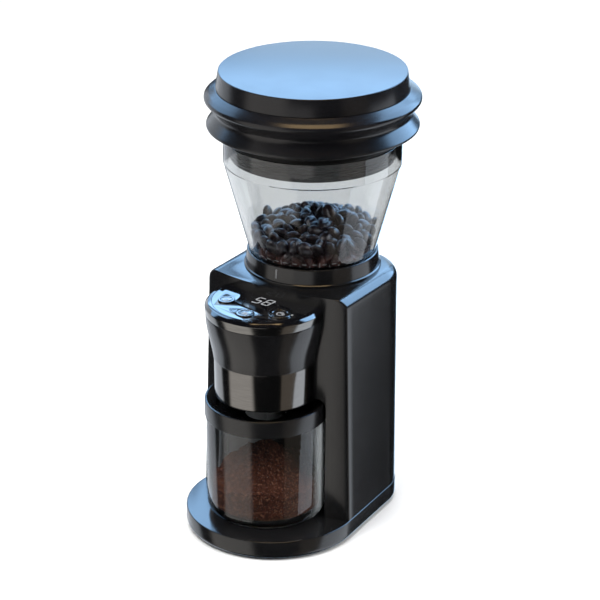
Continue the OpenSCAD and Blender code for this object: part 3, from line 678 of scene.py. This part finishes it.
def head_pieces():
    heights = spread(BAND_TOP + 0.2, HEAD_TOP, 24)
    outside = [(head_radius(z), z) for z in heights]
    outside[0] += (0.5,)
    outside[-1] += (0.3,)
    inside = [(head_radius(z) - HEAD_WALL, z) for z in reversed(heights[1:-5])]
    profile = [(CORE_R - HEAD_WALL, HEAD_BOTTOM), (BAND_R - 0.2, HEAD_BOTTOM, 0.3),
               (BAND_R - 0.2, HEAD_BOTTOM + 0.6, 0.15), (CORE_R, HEAD_BOTTOM + 0.6),
               (CORE_R, BAND_TOP + 0.2)]
    profile += outside + [(SHELF_R, HEAD_TOP), (SHELF_R, SHELF_Z), (SHELF_R - 3, SHELF_Z)]
    profile += inside + [(CORE_R - HEAD_WALL, BAND_TOP)]
    shell = head_arc("head_shell_skin", filleted(profile, steps=4), BLACK)
    place(shell, "base", "black_casing", "head_shell")

    trim = [(SHELF_R - 1, HEAD_TOP + 0.02), (HEAD_TOP_R, HEAD_TOP + 0.02, 0.35),
            (HEAD_TOP_R + 0.6, TRIM_TOP, 0.9), (PANEL_R + 2.9, PANEL_Z - 0.65, 0.5),
            (PANEL_R + 0.15, PANEL_Z + 0.08, 0.12), (PANEL_R + 0.15, PANEL_Z - 2.1),
            (PANEL_R - 1.5, PANEL_Z - 2.1), (PANEL_R - 1.5, PANEL_Z - 3.2),
            (SHELF_R - 1, PANEL_Z - 4.5)]
    ring = head_arc("trim_ring", filleted(trim, steps=6), CHROME)
    ring.data.materials.append(PANEL)
    for face in ring.data.polygons:
        if face.center.z > (TRIM_TOP + 0.9) * MM:
            face.material_index = 1
    place(ring, "base", "trim_metal", "head_trim_ring")

    band = [(BAND_R - 0.85, HEAD_BOTTOM + 0.65), (BAND_R, HEAD_BOTTOM + 0.65, 0.3),
            (BAND_R, BAND_TOP + 0.1, 0.3), (BAND_R - 0.85, BAND_TOP + 0.1)]
    place(head_arc("metal_band", filleted(band, steps=6), BAND), "base", "band_metal", "head_band")


KEY_CIRCLE = 28


def key_place(angle, radius):
    a = math.radians(angle)
    return (KEY_CIRCLE * math.cos(a), HEAD_Y + KEY_CIRCLE * math.sin(a), radius)


KEYS = {"power": key_place(-147.5, 6.0), "select": key_place(-87.5, 6.4),
        "start": key_place(-35, 8.0)}


def chord(z, reach):
    """The column's front line from left to right at a height, pushed into the column by reach."""
    half = math.degrees(math.asin(44 / FRONT_BOW))
    return arc(0, front_centre_y(z) + reach, FRONT_BOW, -90 + half, -90 - half, 40)


def control_panel():
    """Glossy panel with openings for the keys, running 1 mm into the column's face."""
    line = [p for p in chord(PANEL_Z, 1.0) if math.hypot(p[0], p[1] - HEAD_Y) < PANEL_R - 0.3]
    a = math.degrees(math.atan2(line[0][1] - HEAD_Y, line[0][0]))
    outline = arc(0, HEAD_Y, PANEL_R, -180 - a, a, 120) + line
    panel = loft("panel_plate", at_heights(outline, PANEL_Z - 2.0, PANEL_Z))
    for key, (x, y, r) in KEYS.items():
        cut(panel, moved(cylinder(f"{key}_hole", r + 0.3, 178, 188, y, 64), x, 0))
    bevelled(panel, 0.18, 50, 2)
    finish_mesh(panel)
    panel.data.materials.clear()
    panel.data.materials.append(PANEL)
    place(panel, "base", "panel_black", "control_panel")


def bar(a, b, width, level):
    """Flat lit stroke with round ends from point a to point b. level is its bottom and top."""
    turn = math.degrees(math.atan2(b[1] - a[1], b[0] - a[0]))
    outline = arc(*a, width / 2, turn + 90, turn + 270, 8)
    outline += arc(*b, width / 2, turn - 90, turn + 90, 8)
    return loft("bar", at_heights(outline, *level), LED)


def ring_stroke(cx, cy, r, width, level, a0=0, a1=360, n=40):
    """Flat lit stroke along an arc or a full circle."""
    if a1 - a0 >= 360:
        z0, z1 = level
        inner, outer = r - width / 2, r + width / 2
        return moved(lathe("ring", [(inner, z0), (outer, z0), (outer, z1), (inner, z1)], 0, LED, n),
                     cx, cy)
    outline = arc(cx, cy, r + width / 2, a0, a1, n) + arc(cx, cy, r - width / 2, a1, a0, n)
    return loft("arc", at_heights(outline, *level), LED)


def key_caps():
    """Plated caps with a stem, a dished black face, a groove and a lit sign."""
    top, under, stem_low, stem_r = PANEL_Z + 0.8, PANEL_Z - 2, 178.1, 1.6
    for key, (x, y, r) in KEYS.items():
        dish = [(0.0, top - 0.55)]
        dish += [(r * 0.68 * k / 8, top - 0.55 + 0.25 * (k / 8) ** 2) for k in range(1, 9)]
        profile = [(0, stem_low), (stem_r, stem_low), (stem_r, under - 1.3), (r + 0.9, under - 1.3),
                   (r + 0.9, under - 0.4), (r, under - 0.4), (r, top, 0.4), (r * 0.76, top, 0.25),
                   (r * 0.72, top - 0.5, 0.1)] + dish[::-1]
        cap = lathe(f"{key}_cap", filleted(profile), 0, KEY_METAL, 96)
        cap.data.materials.append(PANEL)
        for f in cap.data.polygons:
            c = f.center
            if c.z > (top - 0.6) * MM and math.hypot(c.x, c.y) < r * 0.70 * MM:
                f.material_index = 1
        moved(cap, x, y)
        icon = key_icon(key, x, y, r, top - 0.56)
        place(icon, f"{key}_key", "white_plastic")
        place(cap, f"{key}_key", "button_metal", f"{key}_button")


def key_icon(key, x, y, r, z):
    """The power sign, three menu lines, or a cup with a handle and steam."""
    pen = (r * 0.10, (z, z + 0.12))

    def at(u, v):
        return (x + u * r, y + v * r)

    if key == "power":
        parts = [ring_stroke(x, y, r * 0.36, *pen, 130, 410), bar(at(0, 0.15), at(0, 0.48), *pen)]
    elif key == "select":
        parts = [bar(at(-0.3, v), at(0.3, v), *pen) for v in (-0.2, 0, 0.2)]
    else:
        cup = [at(-0.30, 0.22), at(-0.26, -0.14), at(-0.12, -0.28), at(0.12, -0.28),
               at(0.26, -0.14), at(0.30, 0.22)]
        parts = [bar(a, b, *pen) for a, b in zip(cup, cup[1:] + cup[:1])]
        parts.append(ring_stroke(*at(0.36, 0.02), r * 0.13, *pen))
        parts += [bar(at(u, 0.36), at(u, 0.54), *pen) for u in (-0.16, 0, 0.16)]
    return joined(f"{key}_icon", parts)


SEGMENTS = {"5": "afgcd", "8": "abcdefg"}


def display():
    """Two lit seven-segment digits and a small status dot."""
    level = (PANEL_Z + 0.01, PANEL_Z + 0.09)
    w, h, stroke, slant = 5.2, 9.6, 1.15, 0.14
    low_y = HEAD_Y - 8.0
    corners = {"a": ((0, h), (w, h)), "b": ((w, h), (w, h / 2)), "c": ((w, h / 2), (w, 0)),
               "d": ((0, 0), (w, 0)), "e": ((0, h / 2), (0, 0)), "f": ((0, h), (0, h / 2)),
               "g": ((0, h / 2), (w, h / 2))}
    parts = []
    for digit, x0 in zip("58", (-6.8, 1.4)):
        for name in SEGMENTS[digit]:
            a, b = (Vector(p) for p in corners[name])
            gap = (b - a).normalized() * stroke * 0.62
            ends = [(x0 + p.x + slant * p.y, low_y + p.y) for p in (a + gap, b - gap)]
            parts.append(bar(*ends, stroke, level))
    parts.append(ring_stroke(31, HEAD_Y - 12.5, 0.45, 0.9, level, n=16))
    place(joined("display_digits", parts), "base", "white_plastic")


# -------------------------------------------------- hopper and lid
HOPPER_LOW_R, RIM_R, CONE_TOP, HOPPER_TOP, COLLAR_TOP, WALL = 46.8, 65.3, 271.6, 291.0, 203.6, 2.2
MARK_COUNT, MARK_STEP = 17, 8.6         # printed scale, degrees


def hopper_pieces():
    low = HOPPER_LOW_R
    profile = [(RIM_R - WALL, HOPPER_TOP, 0.9), (RIM_R - WALL, CONE_TOP + 0.3, 2.5),
               (low - WALL - 0.1, COLLAR_TOP + 1, 2.0), (22, 193, 1.5), (22, 181), (24, 181),
               (24, 191.5), (low - 2.6, 202), (low - 2.6, 195.5), (low - 0.4, 195.5),
               (low - 0.4, COLLAR_TOP - 0.4), (low, COLLAR_TOP + 0.1, 0.3), (RIM_R, CONE_TOP, 2.0),
               (RIM_R, HOPPER_TOP, 0.9)]
    body = lathe("hopper_wall", filleted(profile, steps=6), BURR_Y, CLEAR, 192)
    place(body, "bean_hopper", "clear_plastic", "hopper")

    parts = []
    for i in range(MARK_COUNT):
        mid = -90 + (i - MARK_COUNT // 2) * MARK_STEP
        tick_top = 207.0 if i % 4 else 209.4
        parts.append(printed_band(207.6, 208.2, mid - 2.4, mid + 1.6))
        parts.append(printed_tick(math.radians(mid + 4.1), 205.6, tick_top, 0.5))
    place(joined("printed_scale", parts), "bean_hopper", "white_plastic")

    seat = COLUMN_TOP + 0.02
    collar = [(31, 184), (34, 184), (34, seat), (50.6, seat), (50.6, COLUMN_TOP + 1.4, 0.5),
              (49.6, COLUMN_TOP + 2.2, 0.8), (48.5, COLLAR_TOP, 0.8), (low + 0.1, COLLAR_TOP, 0.3),
              (low + 0.1, 193), (31, 193)]
    ring = lathe("collar_ring", filleted(collar), BURR_Y, BLACK, 176)
    place(ring, "base", "black_casing", "hopper_collar")


def cone_r(z):
    """The hopper's outer radius at a height."""
    return HOPPER_LOW_R + (RIM_R - HOPPER_LOW_R) * (z - COLLAR_TOP) / (CONE_TOP - COLLAR_TOP)


PRINT_LOW, PRINT_HIGH = 0.03, 0.10      # print's inner and outer face, above the cone


def printed_tick(a, z0, z1, width):
    verts = []
    for z in (z0, z1):
        for off in (PRINT_LOW, PRINT_HIGH):
            r = cone_r(z) + off
            for side in (-1, 1):
                t = a + side * width / 2 / r
                verts.append((r * math.cos(t), BURR_Y + r * math.sin(t), z))
    return mesh_object("tick", verts, BOX_FACES, PRINT_DIM)


def printed_band(z0, z1, a0, a1):
    profile = [(cone_r(z0) + PRINT_LOW, z0), (cone_r(z0) + PRINT_HIGH, z0),
               (cone_r(z1) + PRINT_HIGH, z1), (cone_r(z1) + PRINT_LOW, z1)]
    return lathe("band", profile, BURR_Y, PRINT_DIM, 6, a0, a1)


BELLOWS_LOW, BELLOWS_HIGH, LID_TOP = 294.02, 327.0, 340.0


def lid_pieces():
    seat = HOPPER_TOP + 0.3
    base = [(57, 276, 0.6), (61, 276, 0.8), (61, seat), (66, seat, 0.6), (66, 294), (57, 294)]
    place(lathe("lid_plug", filleted(base), BURR_Y, PLUG, 176), "hopper_lid", "black_plastic",
          "lid_base")

    skin = [(62.5, BELLOWS_LOW), (66, BELLOWS_LOW, 0.8), (77.3, 298.9, 0.9), (77.3, 300.4, 0.9),
            (70.2, 309.8, 3.0), (80.04, 320.6, 3.0), (75.4, 324.3, 9.0), (70.6, BELLOWS_HIGH, 0.8),
            (67, BELLOWS_HIGH), (76.2, 320.9, 0.6), (67.8, 310, 1.5), (74.6, 299.8, 0.6),
            (62.5, 295.8)]
    bellows = lathe("bellows_skin", dense(filleted(skin, steps=6), 1.2), BURR_Y, SOFT, 192,
                    sharp_deg=60)
    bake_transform(bellows)
    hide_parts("bellows")

    under, low = LID_TOP - 2.6, BELLOWS_HIGH + 0.05
    cap = [(0, under), (0, LID_TOP), (68.3, LID_TOP, 0.8), (70.4, low, 0.5), (66, low),
           (66, under, 1.5)]
    place(lathe("press_top", filleted(cap, steps=6), BURR_Y, SOFT, 192), "lid_cap", "black_soft",
          "press_cap")


# -------------------------------------------------- jar
JAR_R, JAR_TOP, JAR_LOW, JAR_CORNER = 44.0, 95.0, DECK + 0.2, 9


def jar_pieces():
    bore = JAR_R - WALL
    profile = [(0, JAR_LOW + 0.6), (30, JAR_LOW + 0.6), (32, JAR_LOW), (35, JAR_LOW)]
    profile += arc(JAR_R - JAR_CORNER, JAR_LOW + JAR_CORNER, JAR_CORNER, -80, 0, 12)
    profile += [(JAR_R, JAR_TOP, 0.8), (bore, JAR_TOP, 0.8)]
    profile += arc(bore - JAR_CORNER, JAR_LOW + 13, JAR_CORNER, 0, -90, 12) + [(0, JAR_LOW + 4)]
    place(lathe("jar_wall", filleted(profile), HEAD_Y, GLASS, 192), "glass_jar", "clear_plastic",
          "jar")

    plug, skirt, rim, top = bore - 0.8, JAR_R + 0.3, 45.0, 106.4
    lid = [(15, 92, 0.5), (plug, 92, 0.5), (plug, JAR_TOP + 0.3), (skirt, JAR_TOP + 0.3),
           (skirt, JAR_TOP - 1.8), (rim, JAR_TOP - 1.8, 0.3), (rim, top, 1.1), (43.4, top, 0.8),
           (36.6, 102.4, 1.2), (35.6, 97.5, 2.0), (15, 94, 0.6)]
    place(lathe("jar_lid_ring", filleted(lid, steps=6), HEAD_Y, SATIN, 176), "jar_cover",
          "black_plastic", "jar_lid")


# -------------------------------------------------- contents
BEAN_R = 5.5
BEAN_COUNT = 262
PACK_STEPS, SETTLE_STEPS, SETTLE_DROP, PUSH_SHARE = 260, 200, 0.12, 0.28
HEAP_EDGE, HEAP_PEAK, HEAP_SPREAD = 219.5, 13.5, 24.0
FUNNEL_TOP = 204.6                      # above this the hopper's inside is a cone
THROAT_R, THROAT_Z, THROAT_SLOPE = 22, 193, 0.511


def up_cone(z):
    """Share of the cone's height, from 0 at its foot to 1 at its top."""
    return np.clip((z - FUNNEL_TOP) / (CONE_TOP - FUNNEL_TOP), 0, 1)


def bean_places(count, seed):
    """Packs beans, as balls, inside the hopper under a heaped surface by pushing overlaps apart."""
    rng = np.random.default_rng(seed)
    p = np.empty((count, 3))
    p[:, 2] = rng.uniform(200, 226, count)
    a = rng.uniform(0, 2 * math.pi, count)
    r = np.sqrt(rng.uniform(0, 1, count)) * 38
    p[:, 0], p[:, 1] = r * np.cos(a), r * np.sin(a)
    for step in range(PACK_STEPS):
        d = p[:, None, :] - p[None, :, :]
        dist = np.sqrt((d ** 2).sum(-1)) + 1e-9
        np.fill_diagonal(dist, 1e9)
        push = np.clip(2 * BEAN_R - dist, 0, None) * PUSH_SHARE
        p += (d / dist[:, :, None] * push[:, :, None]).sum(1)
        p[:, 2] -= SETTLE_DROP if step < SETTLE_STEPS else 0.0
        keep_in_hopper(p)
    return p, rng


def heap(x, y):
    """Height of the beans' surface."""
    peak = HEAP_PEAK * np.exp(-((x - 8) ** 2 + (y - 6) ** 2) / HEAP_SPREAD ** 2)
    return HEAP_EDGE + peak + 2.0 * np.sin(x * 0.11) * np.cos(y * 0.13)


def keep_in_hopper(p):
    """Holds ball centres inside the wall, above the funnel and under the heap's surface."""
    r = np.hypot(p[:, 0], p[:, 1]) + 1e-9
    wall = 44.5 + up_cone(p[:, 2]) * 18.5 - BEAN_R - 0.4
    over = r > wall
    p[over, :2] *= (wall[over] / r[over])[:, None]
    r = np.hypot(p[:, 0], p[:, 1])
    floor = np.where(r > THROAT_R, THROAT_Z + (r - THROAT_R) * THROAT_SLOPE, 186.0) + BEAN_R + 0.6
    p[:, 2] = np.maximum(p[:, 2], floor)
    p[:, 2] = np.minimum(p[:, 2], heap(p[:, 0], p[:, 1]) - BEAN_R * 0.5)
    r = np.hypot(p[:, 0], p[:, 1]) + 1e-9
    reach = 17
    tight = (p[:, 2] < THROAT_Z) & (r > reach)
    p[tight, :2] *= (reach / r[tight])[:, None]


def bean_form():
    """One bean: domed back, flatter face with the crease along it. Half length 1 along X."""
    bm = bmesh.new()
    bmesh.ops.create_uvsphere(bm, u_segments=16, v_segments=11, radius=1.0)
    for v in bm.verts:
        x, y, z = v.co
        depth = z * (0.30 if z < 0 else 0.62)
        if z < 0 and abs(x) < 1:
            depth += 0.20 * math.exp(-(y / 0.16) ** 2) * (1 - x * x) ** 0.5
        v.co = (x, y * 0.78 * (1 - 0.06 * x), depth)
    points = np.array([tuple(v.co) for v in bm.verts])
    faces = [[v.index for v in f.verts] for f in bm.faces]
    bm.free()
    return points, faces


def turn_matrix(q):
    """Rotation of a quaternion of any length."""
    w, x, y, z = q / np.linalg.norm(q)
    return np.array([[1 - 2 * (y * y + z * z), 2 * (x * y - z * w), 2 * (x * z + y * w)],
                     [2 * (x * y + z * w), 1 - 2 * (x * x + z * z), 2 * (y * z - x * w)],
                     [2 * (x * z - y * w), 2 * (y * z + x * w), 1 - 2 * (x * x + y * y)]])


def coffee_beans():
    places, rng = bean_places(BEAN_COUNT, 7)
    form, form_faces = bean_form()
    verts, faces = [], []
    for p in places:
        turn = turn_matrix(rng.normal(size=4))
        size = BEAN_R * rng.uniform(1.10, 1.28)
        pts = (form * size) @ turn.T + p
        r = np.hypot(pts[:, 0], pts[:, 1]) + 1e-9
        z = pts[:, 2]
        limit = np.where(z > FUNNEL_TOP, 44.6 + up_cone(z) * 18.4, 43.0) - 0.35
        pts[:, :2] *= np.minimum(1.0, limit / r)[:, None]
        base = len(verts)
        verts += [(v[0], v[1] + BURR_Y, v[2]) for v in pts]
        faces += [[base + k for k in f] for f in form_faces]
    beans = mesh_object("coffee_beans", verts, faces, BEANS, sharp_deg=80)
    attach(beans, "bean_hopper")


GROUNDS_R = JAR_R - WALL - 0.25
GROUNDS_LOW = JAR_LOW + 4.15
GROUNDS_CORNER = JAR_CORNER - 0.2
GROUNDS_EDGE, GROUNDS_PEAK, GROUNDS_SPREAD, GROUNDS_TILT = 40.5, 24.5, 22.0, 0.10


def grounds_top(x, y):
    """Height of the grounds: a heap with lumps, higher at the front right, ragged at the wall."""
    lumps = 0.9 * math.sin(x * 0.31 + 1) * math.cos(y * 0.27) + 0.5 * math.sin(x * 0.71 + y * 0.52)
    around = math.atan2(y, x)
    ragged = 1.5 * math.sin(5 * around + 1) + 1.1 * math.sin(11 * around)
    ragged *= (math.hypot(x, y) / GROUNDS_R) ** 4
    peak = GROUNDS_PEAK * math.exp(-(x * x + y * y) / GROUNDS_SPREAD ** 2)
    return GROUNDS_EDGE + peak - GROUNDS_TILT * (0.84 * y - 0.54 * x) + lumps + ragged


def grounds_heap(rng):
    """Body of the grounds: round the jar's inner corner, up its wall, and in over the top."""
    segments, wall_steps, top_rings = 220, 26, 64
    corner_z = GROUNDS_LOW + GROUNDS_CORNER
    verts, faces = [], []

    def ring(r, height):
        start = len(verts)
        for i in range(segments):
            a = 2 * math.pi * i / segments
            x, y = r * math.cos(a), r * math.sin(a)
            verts.append((x, HEAD_Y + y, height(x, y)))
        return start

    corner = arc(GROUNDS_R - GROUNDS_CORNER, corner_z, GROUNDS_CORNER, -90, 0, 9)
    starts = [ring(r, lambda x, y, z=z: z) for r, z in corner]
    for k in range(1, wall_steps):
        starts.append(ring(GROUNDS_R - rng.uniform(0, 0.25), lambda x, y, k=k: (
            corner_z + (grounds_top(x, y) - corner_z) * k / wall_steps)))
    for k in range(top_rings, 0, -1):
        starts.append(ring(GROUNDS_R * k / top_rings,
                           lambda x, y: grounds_top(x, y) + rng.uniform(-0.35, 0.35)))
    bottom, peak = len(verts), len(verts) + 1
    verts += [(0, HEAD_Y, GROUNDS_LOW), (0, HEAD_Y, grounds_top(0, 0))]
    for i in range(segments):
        j = (i + 1) % segments
        faces += [(a + i, a + j, b + j, b + i) for a, b in zip(starts, starts[1:])]
        faces += [(starts[0] + j, starts[0] + i, bottom), (starts[-1] + i, starts[-1] + j, peak)]
    return mesh_object("ground_coffee", verts, faces, GROUNDS, sharp_deg=80)


def loose_crumbs(rng, count):
    """Small uneven tetrahedra on the heap."""
    corners = np.array([[1, 1, 1], [-1, -1, 1], [-1, 1, -1], [1, -1, -1]]) * 0.6
    verts, faces = [], []
    for _ in range(count):
        r, a = GROUNDS_R * math.sqrt(rng.uniform(0, 0.98)), rng.uniform(0, 2 * math.pi)
        x, y = r * math.cos(a), r * math.sin(a)
        size = rng.uniform(0.25, 0.75)
        centre = np.array([x, y + HEAD_Y, grounds_top(x, y) + 0.2])
        jitter = rng.normal(size=(4, 3))
        jitter /= np.linalg.norm(jitter, axis=1)[:, None]
        base = len(verts)
        verts += [tuple(centre + size * q) for q in corners + jitter * 0.35]
        faces += [(base + a, base + b, base + c)
                  for a, b, c in ((0, 1, 2), (0, 3, 1), (0, 2, 3), (1, 3, 2))]
    return mesh_object("loose_grounds", verts, faces, GROUNDS, smooth=False)


def ground_coffee():
    rng = np.random.default_rng(11)
    for ob in (grounds_heap(rng), loose_crumbs(rng, 3200)):
        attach(ob, "glass_jar")


# -------------------------------------------------- stage, light, camera
VIEW_AZIMUTH, VIEW_ELEVATION, VIEW_DISTANCE = 32.697, 23.393, 1.816
LENS = 149.9
FLOOR_R, FLOOR_FAR_R, OBJECT_R = 1.5, 9.0, 0.33
CARD_TARGET, LAMP_TARGET = Vector((0, 0, 0.17)), Vector((0, 0, 0.15))
DIM_SHARE, DIM_BAND = 0.35, 0.2         # a card's light under dim_below, and the change's height


def stand(ob, target, az, el, dist, front=-1):
    """Stands an object round a target and turns its -Z, or with front=1 its +Z, towards it."""
    a, e = math.radians(az), math.radians(el)
    away = Vector((math.sin(a) * math.cos(e), -math.cos(a) * math.cos(e), math.sin(e)))
    ob.location = target + dist * away
    ob.rotation_euler = (away * -front).to_track_quat("Z", "Y").to_euler()


def only_seen_by(ob, camera=False, transmission=False):
    ob.visible_camera = camera
    ob.visible_transmission = transmission
    ob.visible_diffuse = False
    ob.visible_shadow = False


def stage_sheet(nodes, verts, faces):
    """A flat piece of the stage with its material's name. It isn't sampled as a lamp."""
    me = bpy.data.meshes.new(nodes.mat.name)
    me.from_pydata(verts, [], faces)
    me.materials.append(nodes.mat)
    nodes.mat.cycles.emission_sampling = "NONE"
    ob = add_object(nodes.mat.name, me)
    return ob


def card(name, az, el, width, height, dist, colour, strength, soft, dim_below=None):
    """A glowing panel, seen only in reflections, and through clear walls if its name starts with
    blue. soft is the share of its width that fades. It is dimmer below dim_below, measured up
    from its middle."""
    w, h = width / 2, height / 2
    n = Nodes(name)
    n.tree.nodes.remove(n.bsdf)
    glow = n.new("ShaderNodeEmission", {"Color": (*colour, 1)})
    bright = n.fade(n.calc("ABSOLUTE", n.axis("X")), w, w * (1 - soft), 0.0, strength)
    if dim_below is not None:
        rise = n.fade(n.axis("Y"), dim_below - DIM_BAND, dim_below, DIM_SHARE)
        bright = n.calc("MULTIPLY", bright, rise)
    n.link(bright, glow.inputs["Strength"])
    n.show(glow.outputs["Emission"])
    ob = stage_sheet(n, [(-w, -h, 0), (w, -h, 0), (w, h, 0), (-w, h, 0)], [(0, 1, 2, 3)])
    stand(ob, CARD_TARGET, az, el, dist, front=1)
    only_seen_by(ob, transmission=name.startswith("blue"))


def area(name, az, el, size, dist, watts):
    """A round lamp that reflections don't show."""
    data = bpy.data.lights.new(name, "AREA")
    data.shape = "DISK"
    data.size = size
    data.energy = watts
    ob = add_object(name, data)
    stand(ob, LAMP_TARGET, az, el, dist)
    ob.visible_glossy = False


def floor_ring(name, r0, r1, height, albedo, glow=0.0):
    """A flat ring of the pale floor. The far rings glow, so that the floor stays even towards the
    horizon."""
    count = 120
    steps = [2 * math.pi * k / count for k in range(count)]
    verts = [(r * math.cos(a), r * math.sin(a), height) for r in (r0, r1) for a in steps]
    faces = [(k, (k + 1) % count, count + (k + 1) % count, count + k) for k in range(count)]
    n = Nodes(name)
    n.set(Roughness=0.8, Specular_IOR_Level=0.1, Emission_Strength=glow,
          Emission_Color=(1, 1, 1, 1))
    low, high = (albedo - 0.01,) * 3, (albedo + 0.01,) * 3
    n.set(Base_Color=n.ramp(n.noise(3, 2), [(0.3, low), (0.7, high)]))
    floor = stage_sheet(n, verts, faces)
    floor.visible_glossy = False
    return floor


def white_world():
    """Nearly black for light and reflections, white where it's looked at past the floor's edge."""
    world = bpy.data.worlds.new("studio")
    bpy.context.scene.world = world
    world.use_nodes = True
    tree = world.node_tree
    dark = tree.nodes["Background"]
    dark.inputs["Color"].default_value = (0.9, 0.95, 1.0, 1)
    dark.inputs["Strength"].default_value = 0.02
    white = tree.nodes.new("ShaderNodeBackground")
    white.inputs["Strength"].default_value = 1.1
    mix = tree.nodes.new("ShaderNodeMixShader")
    looked_at = tree.nodes.new("ShaderNodeLightPath").outputs["Is Camera Ray"]
    for value, socket in zip((looked_at, dark.outputs[0], white.outputs[0]), mix.inputs):
        tree.links.new(value, socket)
    tree.links.new(mix.outputs["Shader"], tree.nodes["World Output"].inputs["Surface"])


def floors():
    """The floor that is looked at, and a greyer one that shows only through the clear walls."""
    floor_ring("floor", 0.0001, FLOOR_R, 0, 0.91).visible_transmission = False
    only_seen_by(floor_ring("floor_far", FLOOR_R, FLOOR_FAR_R, 0, 0.91, glow=1.1), camera=True)
    grey = (0.0002, 0.41)
    only_seen_by(floor_ring("floor_behind_clear", OBJECT_R, FLOOR_R, *grey), transmission=True)
    only_seen_by(floor_ring("floor_far_behind_clear", FLOOR_R, FLOOR_FAR_R, *grey, glow=0.6),
                 transmission=True)


def lights():
    # name, azimuth, elevation, size, distance, watts
    area("key", -20, 60, 1.6, 2.2, 52)
    area("fill", 95, 40, 1.4, 2.2, 26)
    area("top", 200, 75, 1.6, 2.0, 48)

    view = round(VIEW_AZIMUTH, 1)
    cool, blue = (0.86, 0.92, 1.0), (0.36, 0.63, 1.0)
    # name, azimuth, elevation, width, height, distance, colour, strength
    card("left_card", view - 56, -8, 1.6, 3.4, 1.3, (1.0, 0.96, 0.91), 1.2, soft=0.35)
    card("warm_card", view + 50, -8, 0.85, 3.4, 1.3, (0.85, 0.74, 0.62), 0.36, soft=0.2)
    card("right_card", view + 88, -33, 1.1, 1.6, 1.3, cool, 1.8, soft=0.12)
    card("front_card", view - 18, -3, 1.2, 0.5, 1.4, (1.0, 0.98, 0.96), 0.9, soft=0.4)
    card("rear_left_card", view - 136, -16, 1.5, 3.0, 1.4, cool, 1.3, soft=0.3)
    card("rear_card", view + 172, -12, 1.0, 2.4, 1.7, (0.55, 0.76, 1.0), 2.4, soft=0.3)
    card("blue_card", view + 180, 25, 4.6, 1.2, 2.0, blue, 7.9, soft=0.05, dim_below=0.04)
    card("blue_side", view + 122, 32, 1.5, 1.5, 1.8, blue, 10.0, soft=0.2)
    card("blue_left", view - 138, 28, 1.4, 1.3, 1.8, blue, 4.8, soft=0.2)
    card("amber_card", view, 79, 1.2, 0.50, 1.6, (1.0, 0.69, 0.34), 6.0, soft=0.4)


def camera():
    cam = add_object("camera", bpy.data.cameras.new("camera"))
    cam.data.sensor_width = 36
    cam.data.lens = LENS
    cam.data.clip_end = 50
    stand(cam, Vector((14.3, -19.4, 177.6)) * MM, VIEW_AZIMUTH, VIEW_ELEVATION, VIEW_DISTANCE)
    bpy.context.scene.camera = cam


camera()
dress_cad_nodes()
housing_shell()
head_pieces()
control_panel()
key_caps()
display()
hopper_pieces()
lid_pieces()
jar_pieces()
coffee_beans()
ground_coffee()
floors()
white_world()
bpy.context.scene.view_settings.view_transform = "Standard"
lights()
